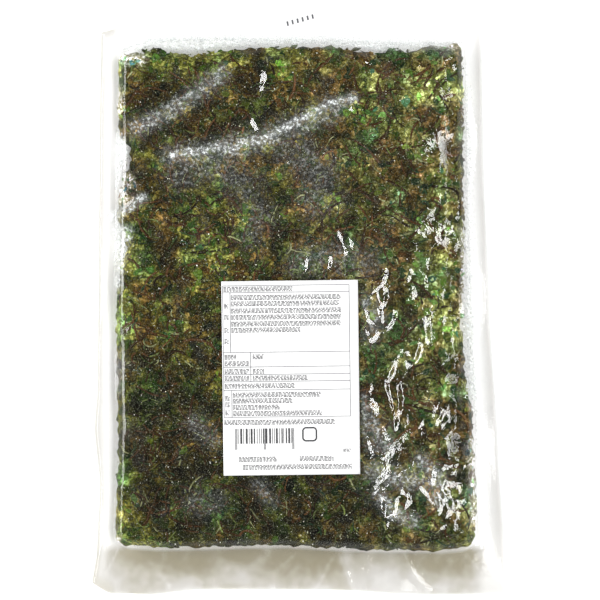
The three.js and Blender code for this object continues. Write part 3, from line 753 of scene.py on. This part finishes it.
def stain_of_flange(x, y, outwards):
    """Darkening of the empty film, a tint with painted shade: deep on the foot flap near the filling,
    light elsewhere.
    """
    flap = smooth(-y, 107, 111) * lerp(0.6, 1, smooth(x, -87, -77)) * (1 - 0.7 * smooth(x, 74, 84))
    flap = 0.90 * flap * lerp(1.2, 0.70, smooth(outwards, 0.05, 0.8))
    flap = flap * (1 + 0.3 * noise(x, y, 9, 61) + 0.2 * noise(x, y, 3, 62))
    # Painted highlight: the film is lighter along the flap's fold lines
    flap = flap * (1 - 0.4 * read(fold_line_lattice, x, y))
    for tone, pixels in FLAP_PANELS:
        flap = flap + flap * tone * inside_panel(x, y, pixels)
    # Darker towards the outer edge of the side flanges
    sides = smooth(outwards, 0.3, 1.0) * (0.60 * smooth(-x, 79, 82) + 0.34 * smooth(x, 72, 76))
    sides = sides + 0.10 * smooth(-y, 100, 112) * smooth(-x, 80, 84)
    return np.clip(np.maximum(flap, sides) * (outwards > 0), 0, 1)


# %% [markdown]
# ## The two films
# Each film is one continuous sheet. It could be a subdivided plane under a displace modifier, but the
# flange, the shoulder and the plateau need grid lines of their own, so the grid is bent to follow
# them. The front film carries every crease, and the back film is nearly plain.

# %% Front and back film
front = film_shell(
    "front_web", "front_film", front_height, (7, 13, 150, (0.34, 0.47)), (13, 13, 194, (0.8, 0.73))
)
back = film_shell("back_web", "back_film", back_height, (7, 13, 70), (12, 13, 100))

# %% [markdown]
# ## The mash
# Radish, cucumber and leaves are chopped so fine that they and the brine make one wet mass. Its
# body is a closed pillow inside the films, and loose bits are then pressed into its surface.

# %% Body of the mash
def chopped(x, y):
    """Little facets: each cell of about 3 mm has its own height, with finer grain on top."""
    gap, number = cells(x, y, 3.1, 71)
    return 0.45 * (number - 0.5) * smooth(gap, 0, 0.8) + 0.14 * noise(x, y, 2.0, 72)


BROWN, OLIVE_TONE = np.array([0.082, 0.049, 0.008]), np.array([0.195, 0.215, 0.036])
GREEN_TONE, PALE_TONE = np.array([0.036, 0.104, 0.020]), np.array([0.52, 0.50, 0.28])


def mash_tone(x, y):
    """Brown turned to olive or green by the tone lattices, then lightened and darkened in log steps."""
    olive, green, pale = (
        read(lattice, x, y)[..., None] for lattice in (olive_lattice, green_lattice, pale_lattice)
    )
    colour = lerp(lerp(BROWN, OLIVE_TONE, olive), GREEN_TONE, 0.8 * green)
    steps = 0.28 * smooth(x, 10, 60) - 0.36
    # The darkest steps stand partly for dark brine and partly for painted shade between the bits
    steps = steps + 0.9 * read(light_lattice, x, y) - 2.3 * read(dark_lattice, x, y)
    steps = steps + 0.5 * noise(x, y, 13, 65) + 1.05 * noise(x, y, 5.2, 63) + 1.0 * noise(x, y, 2.4, 64)
    colour = colour * np.exp(steps[..., None] * np.array([1.0, 1.0, 1.4]))
    colour[..., 2] *= lerp(0.7, 1.0, smooth(x, -20, 40))
    return lerp(colour, PALE_TONE, pale)


mash_x, mash_y, mash_ring = plan_grid((1, 9, 150), (1, 9, 205), MASH_EDGES, MASH_SHOULDER)
mash_x, mash_y, mash_ring = mash_x[1:-1, 1:-1], mash_y[1:-1, 1:-1], mash_ring[1:-1, 1:-1]
ragged = smooth(3 - mash_ring, 0.9, 2)
mash_x = mash_x + 1.3 * ragged * noise(mash_x, mash_y, 3.2, 73)
mash_y = mash_y + 1.3 * ragged * noise(mash_x, mash_y, 3.2, 74)
upper_z, lower_z = mash_surfaces(mash_x, mash_y)
grain = chopped(mash_x, mash_y) * smooth(upper_z - lower_z, 1, 6)
upper = np.stack([mash_x, mash_y, upper_z + grain], -1)
lower = np.stack([mash_x, mash_y, lower_z + 0.25 * np.abs(grain)], -1)
mash_tint = mash_tone(mash_x, mash_y).reshape(-1, 3)
mash = mesh_piece(
    "pickle_mash",
    np.stack([upper, lower]),
    shell_faces(*mash_x.shape),
    "chopped_pickle",
    tint=np.concatenate([mash_tint, mash_tint]),
)

# %% [markdown]
# ## Chopped bits
# Dice of radish, torn leaf and pale grains lie at the surface, pressed flat against the film. Each
# kind is one mesh of many small closed copies. Every copy gets its own shape, turn and colour, and
# the colours drift over the pouch in green and brown patches, as they do in the real mash.

# %% Where bits lie
SIDES = ((False, 1.0), (True, 0.3))  # bits lie on the upper side, and a share of as many below
GAP_TO_FILM = 0.14


def scatter_places(count, seed, margin=-0.5, below=False):
    """Random places inside the mash, each with a frame of two tangents and an outward normal."""
    rng = np.random.default_rng(seed)
    x = rng.uniform(-81, 78, 3 * count)
    y = rng.uniform(-110, 115, 3 * count)
    inside = rim_share(x, y, MASH_EDGES, margin, MASH_SHOULDER) < 0.985
    x, y = x[inside][:count], y[inside][:count]
    height = mash_bottom if below else mash_top
    tangent, side, normal = slope_frame(height, x, y)
    if below:
        side, normal = -side, -normal
    centre = np.stack([x, y, height(x, y)], -1)
    return rng, centre, np.stack([tangent, side, normal], 1)


def between_films(points, faces, tint):
    """Copies that lie well inside the rim, pressed flat where they meet a film: all their points,
    the renumbered faces and a tint for every point."""
    inside = np.all(rim_share(points[..., 0], points[..., 1]) < 0.97, 1)
    points = points[inside]
    front_z, back_z = films_at(points[..., 0], points[..., 1])
    points[..., 2] = np.clip(points[..., 2], back_z + GAP_TO_FILM, front_z - GAP_TO_FILM)
    count, size = points.shape[:2]
    return points.reshape(-1, 3), copied_faces(faces, count, size), np.repeat(tint[inside], size, 0)


def spun(frames, angle, tilt_x, tilt_y):
    """Frames turned by angle about their normal, then leant by two small tilts."""
    c, s = np.cos(angle)[:, None], np.sin(angle)[:, None]
    t, b, n = frames[:, 0], frames[:, 1], frames[:, 2]
    t, b = c * t + s * b, c * b - s * t
    n = n + np.reshape(tilt_x, (-1, 1)) * t + np.reshape(tilt_y, (-1, 1)) * b
    n /= np.linalg.norm(n, axis=1, keepdims=True)
    t = t - n * np.sum(t * n, axis=1, keepdims=True)
    t /= np.linalg.norm(t, axis=1, keepdims=True)
    return np.stack([t, np.cross(n, t), n], 1)


def disc_template(sides, rings):
    """A closed lens: two poles and rings of points between, as unit directions with a height sign."""
    angle = np.arange(sides) * 2 * np.pi / sides
    points = [(0.0, 0.0, 1.0)]
    for radius, height in rings:
        points += [(radius * np.cos(a), radius * np.sin(a), height) for a in angle]
    points.append((0.0, 0.0, -1.0))
    k = np.arange(sides)
    following = (k + 1) % sides
    faces = [np.stack([0 * k, 1 + k, 1 + following], -1)]
    for r in range(len(rings) - 1):
        a, b = 1 + r * sides, 1 + (r + 1) * sides
        faces.append(np.stack([a + k, b + k, b + following], -1))
        faces.append(np.stack([a + k, b + following, a + following], -1))
    last = 1 + (len(rings) - 1) * sides
    faces.append(np.stack([last + k, 0 * k + len(points) - 1, last + following], -1))
    return np.array(points), np.concatenate(faces)


def pick(rng, count, colours, weights):
    """Random colours from a short list, each moved a little lighter or darker."""
    chosen = np.array(colours)[rng.choice(len(colours), count, p=np.array(weights) / np.sum(weights))]
    return chosen * np.exp(rng.normal(0, 0.25, (count, 1)))


def bits(name, count, seed, template, size, flat, lift, rough, colours, weights, relative=True, bend=0):
    """Lens-like bits on the mash: uneven outlines, random turns and leans. Their colours are their
    own or, where relative, factors of the mash's colour under each."""
    shape, faces = template
    parts = []
    for below, share in SIDES:
        rng, centres, frames = scatter_places(int(count * share), seed + below, below=below)
        n = len(centres)
        long = size[0] + (size[1] - size[0]) * rng.power(0.6, n)[:, None]
        wide = long * rng.uniform(0.3, 0.9, (n, 1))
        deep = flat * (0.5 + long / size[1])
        uneven = 1 + rough * rng.uniform(-1, 1, (n, len(shape)))
        local = shape * uneven[..., None] * np.stack([long, wide, deep], -1)
        local[..., 2] += bend * rng.uniform(-1, 1, (n, 1)) * (local[..., 0] ** 2) / size[1]
        angle = rng.uniform(0, 2 * np.pi, n)
        turned = spun(frames, angle, rng.normal(0, 0.12, n), rng.normal(0, 0.12, n))
        centres = centres + turned[:, 2] * (lift + rng.normal(0, 0.12, (n, 1)))
        tint = pick(rng, n, colours, weights)
        if relative:
            tint = tint * mash_tone(centres[:, 0], centres[:, 1])
        placed = centres[:, None] + np.einsum("kpc,kcd->kpd", local, turned)
        parts.append(between_films(placed, faces, tint))
    points, faces, tint = joined(parts)
    return mesh_piece(name, points, faces, None, smooth_faces=False, tint=tint)


# %% Radish dice, leaf scraps and grains
DIE = disc_template(5, [(0.75, 0.9), (1.0, -0.5)])
SCRAP = disc_template(7, [(0.6, 1.0), (1.0, 0.0), (0.6, -1.0)])
GRAIN = disc_template(4, [(1.0, 0.0)])
radish = bits(
    "radish_dice", 6500, 101, DIE, (0.35, 1.5), 0.35, 0.25, 0.42,
    [(1.35, 1.4, 1.9), (1.0, 1.0, 1.0), (2.1, 2.2, 3.6), (0.42, 0.38, 0.4)], [5, 5, 3, 4],
)
leaf = bits(
    "leaf_scraps", 3200, 202, SCRAP, (0.5, 2.3), 0.14, 0.38, 0.45,
    [(0.30, 0.6, 0.7), (0.45, 0.85, 0.7), (0.75, 1.35, 0.9), (0.15, 0.42, 0.8), (0.45, 0.35, 0.4)],
    [5, 5, 3, 3, 4], bend=0.25,
)
pale_grain = bits(
    "pale_grains", 5200, 303, GRAIN, (0.15, 0.40), 0.25, 0.50, 0.3,
    [(0.42, 0.43, 0.30), (0.26, 0.27, 0.14), (0.75, 0.75, 0.66)], [4, 4, 3], relative=False,
)


# %% [markdown]
# ## Kelp shreds and stems
# Kelp is cut into narrow ribbons that curl as they soak up brine. A curve object with a bevel
# could make one, but hundreds are wanted, each sunk here and there in the mash. So a flat
# four-sided profile is carried along all paths at once.

# %% Shreds carried along wandering paths
def wandering_paths(rng, centre, length, curl, stations):
    """x and y along paths whose heading drifts by small random turns, each about its own centre."""
    n = len(centre)
    run = rng.uniform(*length, n)
    turn = rng.normal(0, curl, (n, 1)) + rng.normal(0, curl, (n, 1)) * np.linspace(-1, 1, stations)
    heading = rng.uniform(0, 2 * np.pi, (n, 1)) + np.cumsum(turn, 1)
    step = (run / (stations - 1))[:, None]
    x, y = np.cumsum(np.cos(heading) * step, 1), np.cumsum(np.sin(heading) * step, 1)
    return x - x.mean(1, keepdims=True) + centre[:, :1], y - y.mean(1, keepdims=True) + centre[:, 1:2]


def tube_faces(stations, sides):
    """Triangles of a closed tube: a ring of points at each station, then one point for each end."""
    k = np.arange(sides)
    following = (k + 1) % sides
    faces = []
    for a in range(0, (stations - 1) * sides, sides):
        b = a + sides
        faces.append(np.stack([b + k, b + following, a + k], -1))
        faces.append(np.stack([b + following, a + following, a + k], -1))
    last, first_end = (stations - 1) * sides, stations * sides
    faces.append(np.stack([k, following, 0 * k + first_end], -1))
    faces.append(np.stack([last + following, last + k, 0 * k + first_end + 1], -1))
    return np.concatenate(faces)


def light_under(x, y):
    """How light the mash is at x, y, as a factor."""
    return np.exp(0.35 * read(pale_lattice, x, y) - 0.55 * read(dark_lattice, x, y))


def shreds(name, node, count, seed, length, width, thickness, colours, weights, lift, curl):
    """Ribbons on wandering paths over the mash, with a flat four-sided profile. They sink and
    twist in slow waves, and both ends taper."""
    stations, sides = 11, 4
    parts = []
    for below, share in SIDES:
        rng, centre, _ = scatter_places(int(count * share), seed + below, 2.5, below)
        x, y = wandering_paths(rng, centre, length, curl, stations)
        keep = np.all(rim_share(x, y, MASH_EDGES, 0.8, MASH_SHOULDER) < 0.97, 1)
        x, y, n = x[keep], y[keep], int(keep.sum())
        height = mash_bottom if below else mash_top
        _, _, normal = slope_frame(height, x, y)
        if below:
            normal = -normal
        wave = rng.uniform(0, 2 * np.pi, (n, 1)) + np.linspace(0, 1, stations) * rng.uniform(3, 8, (n, 1))
        sunk = lift + 0.28 * np.sin(wave) + rng.normal(0, 0.08, (n, 1))
        middle = np.stack([x, y, height(x, y)], -1) + normal * sunk[..., None]
        along = np.gradient(middle, axis=1)
        along /= np.linalg.norm(along, axis=-1, keepdims=True)
        flat = np.cross(normal, along)
        twist = rng.normal(0, 0.25, (n, 1)) + 0.3 * np.sin(wave * 0.7)
        flat, normal = (
            flat * np.cos(twist)[..., None] + normal * np.sin(twist)[..., None],
            normal * np.cos(twist)[..., None] - flat * np.sin(twist)[..., None],
        )
        taper = np.clip(np.sin(np.linspace(0, np.pi, stations)) * 3.0, 0.12, 1)
        half = 0.5 * rng.uniform(*width, (n, 1)) * taper * (1 + 0.15 * np.sin(2.3 * wave))
        angle = np.arange(sides) * 2 * np.pi / sides
        ring = (
            middle[:, :, None]
            + flat[:, :, None] * (half[..., None] * np.cos(angle))[..., None]
            + normal[:, :, None] * (0.5 * thickness * taper[:, None] * np.sin(angle))[..., None]
        )
        points = np.concatenate([ring.reshape(n, -1, 3), middle[:, [0, -1]]], 1)
        half_way = middle[:, stations // 2]
        tint = pick(rng, n, colours, weights) * light_under(half_way[:, 0], half_way[:, 1])[:, None]
        parts.append(between_films(points, tube_faces(stations, sides), tint))
    points, faces, tint = joined(parts)
    return mesh_piece(name, points, faces, node, tint=tint)


kelp = shreds(
    "kelp_shreds", "kombu_shreds", 620, 404, (8, 24), (0.7, 1.35), 0.5,
    [(0.032, 0.014, 0.004), (0.055, 0.024, 0.007), (0.085, 0.038, 0.012), (0.013, 0.007, 0.003)],
    [4, 4, 2, 3], 0.16, 0.19,
)
stems = shreds(
    "leaf_stems", None, 700, 505, (3, 11), (0.35, 0.9), 0.4,
    [(0.04, 0.07, 0.02), (0.11, 0.14, 0.035), (0.24, 0.25, 0.11), (0.015, 0.04, 0.018)],
    [4, 4, 4, 3], 0.18, 0.16,
)

# %% [markdown]
# ## Label and its print
# The label is stiff paper, so it bridges the film's little creases and only follows its slow curves.
# One corner has come up a little. Its print is plain: a ruled table, rows of dashes, a random
# pattern of bars and an empty box. Each printed mark is a very thin closed strip on the paper.

# %% Label
def label_to_pouch(u, v):
    """Label coordinates, from its centre, turned and moved onto the pouch."""
    c, s = np.cos(LABEL_TURN), np.sin(LABEL_TURN)
    return LABEL_CENTRE[0] + u * c - v * s, LABEL_CENTRE[1] + u * s + v * c


def label_height(u, v):
    """The pouch's slow curves, a hair above the front film, with one corner softly lifted."""
    x, y = label_to_pouch(u, v)
    corner = np.clip(1 - np.hypot(u + LABEL_SIZE[0] / 2, v - LABEL_SIZE[1] / 2) / 9.0, 0, 1)
    edge = 0.05 * noise(u, v, 14, 81)
    return PLATEAU_TOP + 0.24 + crown(x, y) + lumps(x, y) + 0.3 * corner**2 + edge


def label_point(u, v, above=0.0):
    x, y = label_to_pouch(u, v)
    return np.stack([x, y, label_height(u, v) + above], -1)


label_u, label_v = np.meshgrid(
    np.linspace(-0.5, 0.5, 49) * LABEL_SIZE[0], np.linspace(-0.5, 0.5, 69) * LABEL_SIZE[1]
)
label = mesh_piece(
    "label_sheet",
    np.stack([label_point(label_u, label_v, 0.06), label_point(label_u, label_v, -0.06)]),
    shell_faces(*label_u.shape),
    "paper_label",
)


# %% Print on the label, as thin strips
def strips(marks, stations):
    """Closed strips on the label: u0, v0, u1, v1 and width each, with points every few millimetres."""
    marks = np.array(marks, float)
    t = np.linspace(0, 1, stations)
    u = lerp(marks[:, [0]], marks[:, [2]], t)
    v = lerp(marks[:, [1]], marks[:, [3]], t)
    run = marks[:, 2:4] - marks[:, 0:2]
    run /= np.linalg.norm(run, axis=1, keepdims=True)
    half = marks[:, [4]] / 2
    rows = []
    for above in (0.10, 0.05):
        for side in (-1, 1):
            rows.append(label_point(u - side * run[:, [1]] * half, v + side * run[:, [0]] * half, above))
    points = np.stack(rows, 1).reshape(-1, 3)
    return points, copied_faces(shell_faces(2, stations), len(marks), 4 * stations)


def printed(name, groups):
    """One mesh of several groups of strips."""
    points, faces = joined([strips(marks, stations) for marks, stations in groups])
    return mesh_piece(name, points, faces, None, False)


TABLE_LEFT, TABLE_RIGHT, TABLE_TOP, TABLE_FOOT = -29.3, 25.9, 40.4, -17.0
RULE = 0.26  # width of a rule
row_lines = [TABLE_TOP, TABLE_FOOT, 37.4, 11.3, 4.9, 1.6, -1.5, -5.2]
column_lines = [
    (TABLE_LEFT, TABLE_FOOT, TABLE_TOP), (TABLE_RIGHT, TABLE_FOOT, TABLE_TOP),
    (-26.1, 11.3, 37.4), (-17.4, -1.5, 11.3), (-25.8, TABLE_FOOT, -5.2),
]
rules = [(TABLE_LEFT, v, TABLE_RIGHT, v, RULE) for v in row_lines]
rules += [(u, foot, u, head, RULE) for u, foot, head in column_lines]
print_rng = np.random.default_rng(909)


def broken_line(u0, u1, v, height=2.0):
    """One line of print: four rows of short dashes with random lengths and breaks."""
    marks = []
    for row in (-0.42, -0.14, 0.14, 0.42):
        u = u0
        while u < u1 - 0.4:
            end = min(u + print_rng.uniform(0.4, 1.5), u1)
            marks.append((u, v + row * height, end, v + row * height, 0.17 * height))
            u = end + print_rng.uniform(0.2, 0.7)
    return marks


# The left end of some lines, then the height and the right end of each
LINES_FROM = [
    (-28.9, [(38.9, 1.2)]),
    (-25.7, [(35.2, 22.3), (32.5, 21.5), (29.4, 22.3), (26.6, 22.3), (23.7, 22.3), (21.0, 4.4)]),
    (-28.7, [(v, -26.8) for v in (31.6, 26.6, 21.0, 16.1, -8.6, -11.5, -15.0)]),
    (-28.8, [(9.3, -23.7), (6.4, -18.0), (3.0, -18.2), (0.0, -18.2), (-3.4, 1.6)]),
    (-16.5, [(9.3, -11.6), (3.0, -11.6), (0.0, 7.7)]),
    (-25.3, [(-7.3, 13.0), (-9.9, 0.6), (-12.7, -5.0), (-15.4, 13.4)]),
    (-29.3, [(-19.3, 19.0)]),
]
dashes = [mark for u, lines in LINES_FROM for v, end in lines for mark in broken_line(u, end, v)]
dashes += broken_line(22.6, 26.2, -31.9, 1.2)
dashes += broken_line(-23.0, -6.6, -35.4) + broken_line(3.5, 18.3, -35.4)
dashes += broken_line(-21.3, 26.2, -38.9)
bars = []
u = -23.4
while u < 0.0:
    wide = print_rng.choice([0.27, 0.27, 0.54, 0.8])
    bars.append((u + wide / 2, -22.0, u + wide / 2, -28.6, wide))
    u += wide + print_rng.choice([0.27, 0.54, 0.54, 0.8])
bars += [(guard, -22.0, guard, -31.2, 0.27) for guard in (-24.4, -23.9, -11.9, -11.4, 0.5, 1.0)]
box = [(5.9, -21.9), (10.0, -21.9), (10.9, -22.8), (10.9, -26.7)]
box += [(10.0, -27.6), (5.9, -27.6), (5.0, -26.7), (5.0, -22.8)]
box_marks = [(*start, *end, 0.7) for start, end in zip(box, box[1:] + box[:1])]
table_print = printed("label_rules", [(rules, 40)])
dash_print = printed("label_greeking", [(dashes, 2), (bars, 3), (box_marks, 2)])


# %% [markdown]
# ## Marks on the film
# At the head of the pouch a few short ticks of grey ink stand on the flange.

# %% Stamped ticks
def film_ticks(name, places, size):
    """Short closed strips that lie on the flange's front film."""
    parts = []
    for x0, y0, x1, y1 in places:
        x, y = np.array([x0, x1]), np.array([y0, y1])
        across_x, across_y = np.array([y0 - y1, x1 - x0]) / np.hypot(x1 - x0, y1 - y0) * size / 2
        outwards = (y - through(FILL_HEAD, x)) / (through(HEAD_EDGE, x) - through(FILL_HEAD, x))
        z = seam(x, y, outwards) + 0.62
        rows = [
            np.stack([x + side * across_x, y + side * across_y, z + above], -1)
            for above in (0.04, 0.0) for side in (1, -1)
        ]
        parts.append((np.concatenate(rows), shell_faces(2, 2)))
    points, faces = joined(parts)
    return mesh_piece(name, points, faces, None, False)


stamp_places = [(-5.2 + 2.2 * k, 120.2 + 0.62 * k, -5.6 + 2.2 * k, 122.2 + 0.62 * k) for k in range(6)]
stamp = film_ticks("stamp_ticks", stamp_places, 0.8)

# %% [markdown]
# ## Materials
# Film is a thin clear plastic. Real glass shading would bend every ray and slow the render, so the
# film is see-through shading mixed with a sharp gloss by Fresnel. Where it has lifted it whitens,
# and a glow round bright creases is painted on in white.

# %% Node helpers
def feed(node, inputs):
    """Give inputs, by name or number, a value each, or a link where a node or an output is given."""
    for key, value in inputs.items():
        if isinstance(value, bpy.types.Node):
            value = value.outputs[0]
        if isinstance(value, bpy.types.NodeSocket):
            node.id_data.links.new(value, node.inputs[key])
        else:
            node.inputs[key].default_value = value


def add(nodes, kind, *inputs, **settings):
    """A node with its settings, its named inputs and its first inputs in their own order."""
    node = nodes.new(kind)
    for key, value in settings.items():
        if key in node.inputs:
            feed(node, {key: value})
        else:
            setattr(node, key, value)
    feed(node, dict(enumerate(inputs)))
    return node


def new_material(name, colour, roughness):
    """A material, its nodes, and its Principled shader with a colour and a roughness."""
    material = bpy.data.materials.new(name)
    material.use_nodes = True
    material.diffuse_color = (*colour, 1)
    nodes = material.node_tree.nodes
    feed(nodes["Principled BSDF"], {"Base Color": (*colour, 1), "Roughness": roughness})
    return material, nodes, nodes["Principled BSDF"]


def noise_node(nodes, scale, detail=4.0, roughness=0.55):
    place = nodes.get("Texture Coordinate") or nodes.new("ShaderNodeTexCoord")
    vector = place.outputs["Object"]
    return add(nodes, "ShaderNodeTexNoise", vector, Scale=scale, Detail=detail, Roughness=roughness)


def ramp(nodes, source, stops):
    """A colour ramp fed by source, with stops of position and colour."""
    node = add(nodes, "ShaderNodeValToRGB", source)
    elements = node.color_ramp.elements
    while len(elements) < len(stops):
        elements.new(0.5)
    for element, (position, colour) in zip(elements, stops):
        element.position = position
        element.color = (*colour, 1)
    return node


def grey(value):
    return (value, value, value)


# %% Film
def film_material(name, index, weld_loss):
    """Clear film: see-through, tinted with painted shade, whitened or painted with glow, glossy outside
    by Fresnel.

    Where the films are welded into one, each gives up a part of its own gloss."""
    material, nodes, principled = new_material(name, (0.9, 0.92, 0.9), 0.05)
    nodes.remove(principled)

    def share(key):
        return add(nodes, "ShaderNodeAttribute", attribute_name=key).outputs["Fac"]

    def calculate(operation, *values):
        return add(nodes, "ShaderNodeMath", *values, operation=operation)

    # Film tint with painted shade: the colour seen through the film
    dingy = [(0.0, (1, 1, 1)), (0.5, (0.925, 0.922, 0.916)), (1.0, (0.853, 0.842, 0.806))]
    clear = add(nodes, "ShaderNodeBsdfTransparent", ramp(nodes, share("stain"), dingy))
    haze = add(nodes, "ShaderNodeBsdfDiffuse", Color=(0.84, 0.88, 0.87, 1))
    spots = [(0.44, grey(0.14)), (0.54, grey(0.38)), (0.63, grey(1.8))]
    # Lifted film whitens in clots, and the same share carries the painted glow round bright creases
    lifted = calculate("MULTIPLY", share("milk"), ramp(nodes, noise_node(nodes, 750, 4, 0.7), spots))
    whitened = calculate("MULTIPLY_ADD", lifted, 0.9, 0.001)
    body = add(nodes, "ShaderNodeMixShader", whitened, clear, haze)
    height = calculate("MULTIPLY", noise_node(nodes, 520, 2), share("loose"))
    bump = add(nodes, "ShaderNodeBump", Strength=0.5, Distance=0.0002, Height=height)
    gloss = add(nodes, "ShaderNodeBsdfAnisotropic", Roughness=0.05, Normal=bump)
    backfacing = nodes.new("ShaderNodeNewGeometry").outputs["Backfacing"]
    fresnel = add(nodes, "ShaderNodeFresnel", IOR=index)
    shine = calculate("MULTIPLY", fresnel, calculate("SUBTRACT", 1.0, backfacing))
    unwelded = calculate("MULTIPLY_ADD", share("weld"), -weld_loss, 1.0)
    whole = add(nodes, "ShaderNodeMixShader", calculate("MULTIPLY", shine, unwelded), body, gloss)
    feed(nodes["Material Output"], {"Surface": whole})
    return material


front.data.materials.append(film_material("clear_front_film", 1.72, 0.6))
back.data.materials.append(film_material("clear_back_film", 1.4, 1.0))


# %% Mash, bits, kelp and stems
def tinted_material(name, colour, roughness, grain_scale, contrast, bump_distance):
    """A wet vegetable finish: the mesh's own tint, broken up by fine light and dark grain, with
    pale flecks over it."""
    material, nodes, principled = new_material(name, colour, roughness)
    tint = add(nodes, "ShaderNodeAttribute", attribute_name="tint")
    grain = noise_node(nodes, grain_scale, 4, 0.65)
    low, high = np.exp(contrast * np.array([(-1, -1, -1.4), (0.9, 0.9, 1.4)]))
    shade = ramp(nodes, grain, [(0.34, low), (0.5, grey(1.0)), (0.66, high)])
    mixed = add(nodes, "ShaderNodeMix", data_type="RGBA", blend_type="MULTIPLY")
    feed(mixed, {"Factor": 1.0, 6: tint, 7: shade})
    flecks = [(0.52, grey(0.0)), (0.61, grey(0.15)), (0.72, grey(0.8))]
    amount = ramp(nodes, noise_node(nodes, 1700, 3, 0.7), flecks)
    flecked = add(nodes, "ShaderNodeMix", data_type="RGBA")
    feed(flecked, {"Factor": amount, 6: mixed.outputs[2], 7: (0.33, 0.34, 0.25, 1)})
    bump = add(nodes, "ShaderNodeBump", Strength=0.5, Distance=bump_distance, Height=grain)
    feed(principled, {"Base Color": flecked.outputs[2], "Normal": bump, "Specular IOR Level": 0.02})
    return material


# Colour seen without nodes, roughness, scale of the grain, its contrast, and the bump's depth
for piece, *finish in (
    (mash, "brined_mash", (0.06, 0.057, 0.012), 0.7, 800, 1.6, 0.0003),
    (radish, "radish_flesh", (0.14, 0.13, 0.04), 0.7, 1000, 0.9, 0.0001),
    (leaf, "wet_leaf", (0.02, 0.04, 0.01), 0.7, 1100, 0.9, 0.0001),
    (pale_grain, "pale_grain", (0.4, 0.42, 0.3), 0.7, 1500, 0.3, 0.0001),
    (kelp, "wet_kelp", (0.04, 0.02, 0.007), 0.6, 1300, 0.6, 0.0001),
    (stems, "leaf_stem", (0.06, 0.08, 0.02), 0.7, 900, 0.6, 0.0001),
):
    piece.data.materials.append(tinted_material(*finish))


# %% Paper and inks
def paper_material():
    material, nodes, principled = new_material("label_paper", grey(0.7), 0.55)
    fibre = noise_node(nodes, 1800)
    tone = ramp(nodes, fibre, [(0.3, grey(0.68)), (0.7, grey(0.715))])
    bump = add(nodes, "ShaderNodeBump", Strength=0.2, Distance=0.00005, Height=fibre)
    feed(principled, {"Base Color": tone, "Normal": bump})
    return material


def ink_material(name, colour):
    """Matt ink that is lighter where it is worn."""
    material, nodes, principled = new_material(name, colour, 0.6)
    light = tuple(min(1, c * 1.6 + 0.03) for c in colour)
    tone = ramp(nodes, noise_node(nodes, 2500, 2), [(0.45, colour), (0.7, light)])
    feed(principled, {"Base Color": tone})
    return material


label.data.materials.append(paper_material())
table_print.data.materials.append(ink_material("grey_rule_ink", (0.09, 0.09, 0.10)))
dash_print.data.materials.append(ink_material("dark_print_ink", (0.012, 0.012, 0.015)))
stamp.data.materials.append(ink_material("grey_stamp_ink", (0.06, 0.06, 0.07)))

# %% [markdown]
# ## Floor, light and camera
# The pouch is seen from straight above on white. Two softboxes stand to the right, so that creases
# on that side catch them, and a low wide fill stands at the left. The zone round the camera stays
# dark, so that the flat film doesn't mirror a light.

# %% Stage
floor_mesh = bpy.data.meshes.new("floor")
floor_mesh.from_pydata([(-3, -3, 0), (3, -3, 0), (3, 3, 0), (-3, 3, 0)], [], [(0, 1, 2, 3)])
floor = bpy.data.objects.new("floor", floor_mesh)
bpy.context.scene.collection.objects.link(floor)
floor.data.materials.append(new_material("pale_floor", grey(0.95), 0.8)[0])


def softbox(name, place, size, radiance):
    """A rectangular light at place, facing the pouch. Its power is radiance times pi times area."""
    light = bpy.data.lights.new(name, "AREA")
    light.shape = "RECTANGLE"
    light.size, light.size_y = size
    light.energy = radiance * np.pi * size[0] * size[1]
    lamp = bpy.data.objects.new(name, light)
    bpy.context.scene.collection.objects.link(lamp)
    lamp.location = place
    lamp.rotation_euler = (-Vector(place)).to_track_quat("-Z", "Y").to_euler()


KEY_DISTANCE, KEY_HEIGHT, KEY_RADIANCE, FILL_RADIANCE = 0.53, 1.15, 13.0, 7.5
for number, bearing in enumerate(np.radians([-31, 31])):
    place = (KEY_DISTANCE * np.cos(bearing), KEY_DISTANCE * np.sin(bearing), KEY_HEIGHT)
    softbox(f"right_softbox_{number}", place, (0.44, 0.40), KEY_RADIANCE)
softbox("left_fill", (-1.1, 0.0, 0.55), (1.6, 0.5), FILL_RADIANCE)

# %% Dim room, dark overhead
world = bpy.data.worlds.new("soft_room")
world.use_nodes = True
room = world.node_tree.nodes
direction = room.new("ShaderNodeTexCoord")
upwards = add(room, "ShaderNodeSeparateXYZ", direction.outputs["Generated"]).outputs["Z"]
dark_above = [(0.0, grey(1.0)), (0.42, grey(1.0)), (0.72, grey(0.06)), (0.86, grey(0.02))]
feed(room["Background"], {"Color": ramp(room, upwards, dark_above), "Strength": 1.3})
bpy.context.scene.world = world

# %% Camera
camera_data = bpy.data.cameras.new("camera")
camera = bpy.data.objects.new("camera", camera_data)
bpy.context.scene.collection.objects.link(camera)
bpy.context.scene.camera = camera
SENSOR = 36  # millimetres
CAMERA_HEIGHT, FRAMED_HEIGHT, FRAME_WIDTH = 1.8, 0.008, 0.2631
camera_data.sensor_width = SENSOR
camera_data.lens = SENSOR * (CAMERA_HEIGHT - FRAMED_HEIGHT) / FRAME_WIDTH
camera.location = (0.0, 0.0, CAMERA_HEIGHT)
camera_data.clip_end = 20

# %% Colours as they are, and enough bounces through the films
settings = bpy.context.scene
settings.view_settings.view_transform = "Standard"
settings.view_settings.look = "None"
settings.cycles.transparent_max_bounces = 16
settings.cycles.max_bounces = 8
settings.cycles.caustics_reflective = False
settings.cycles.caustics_refractive = False
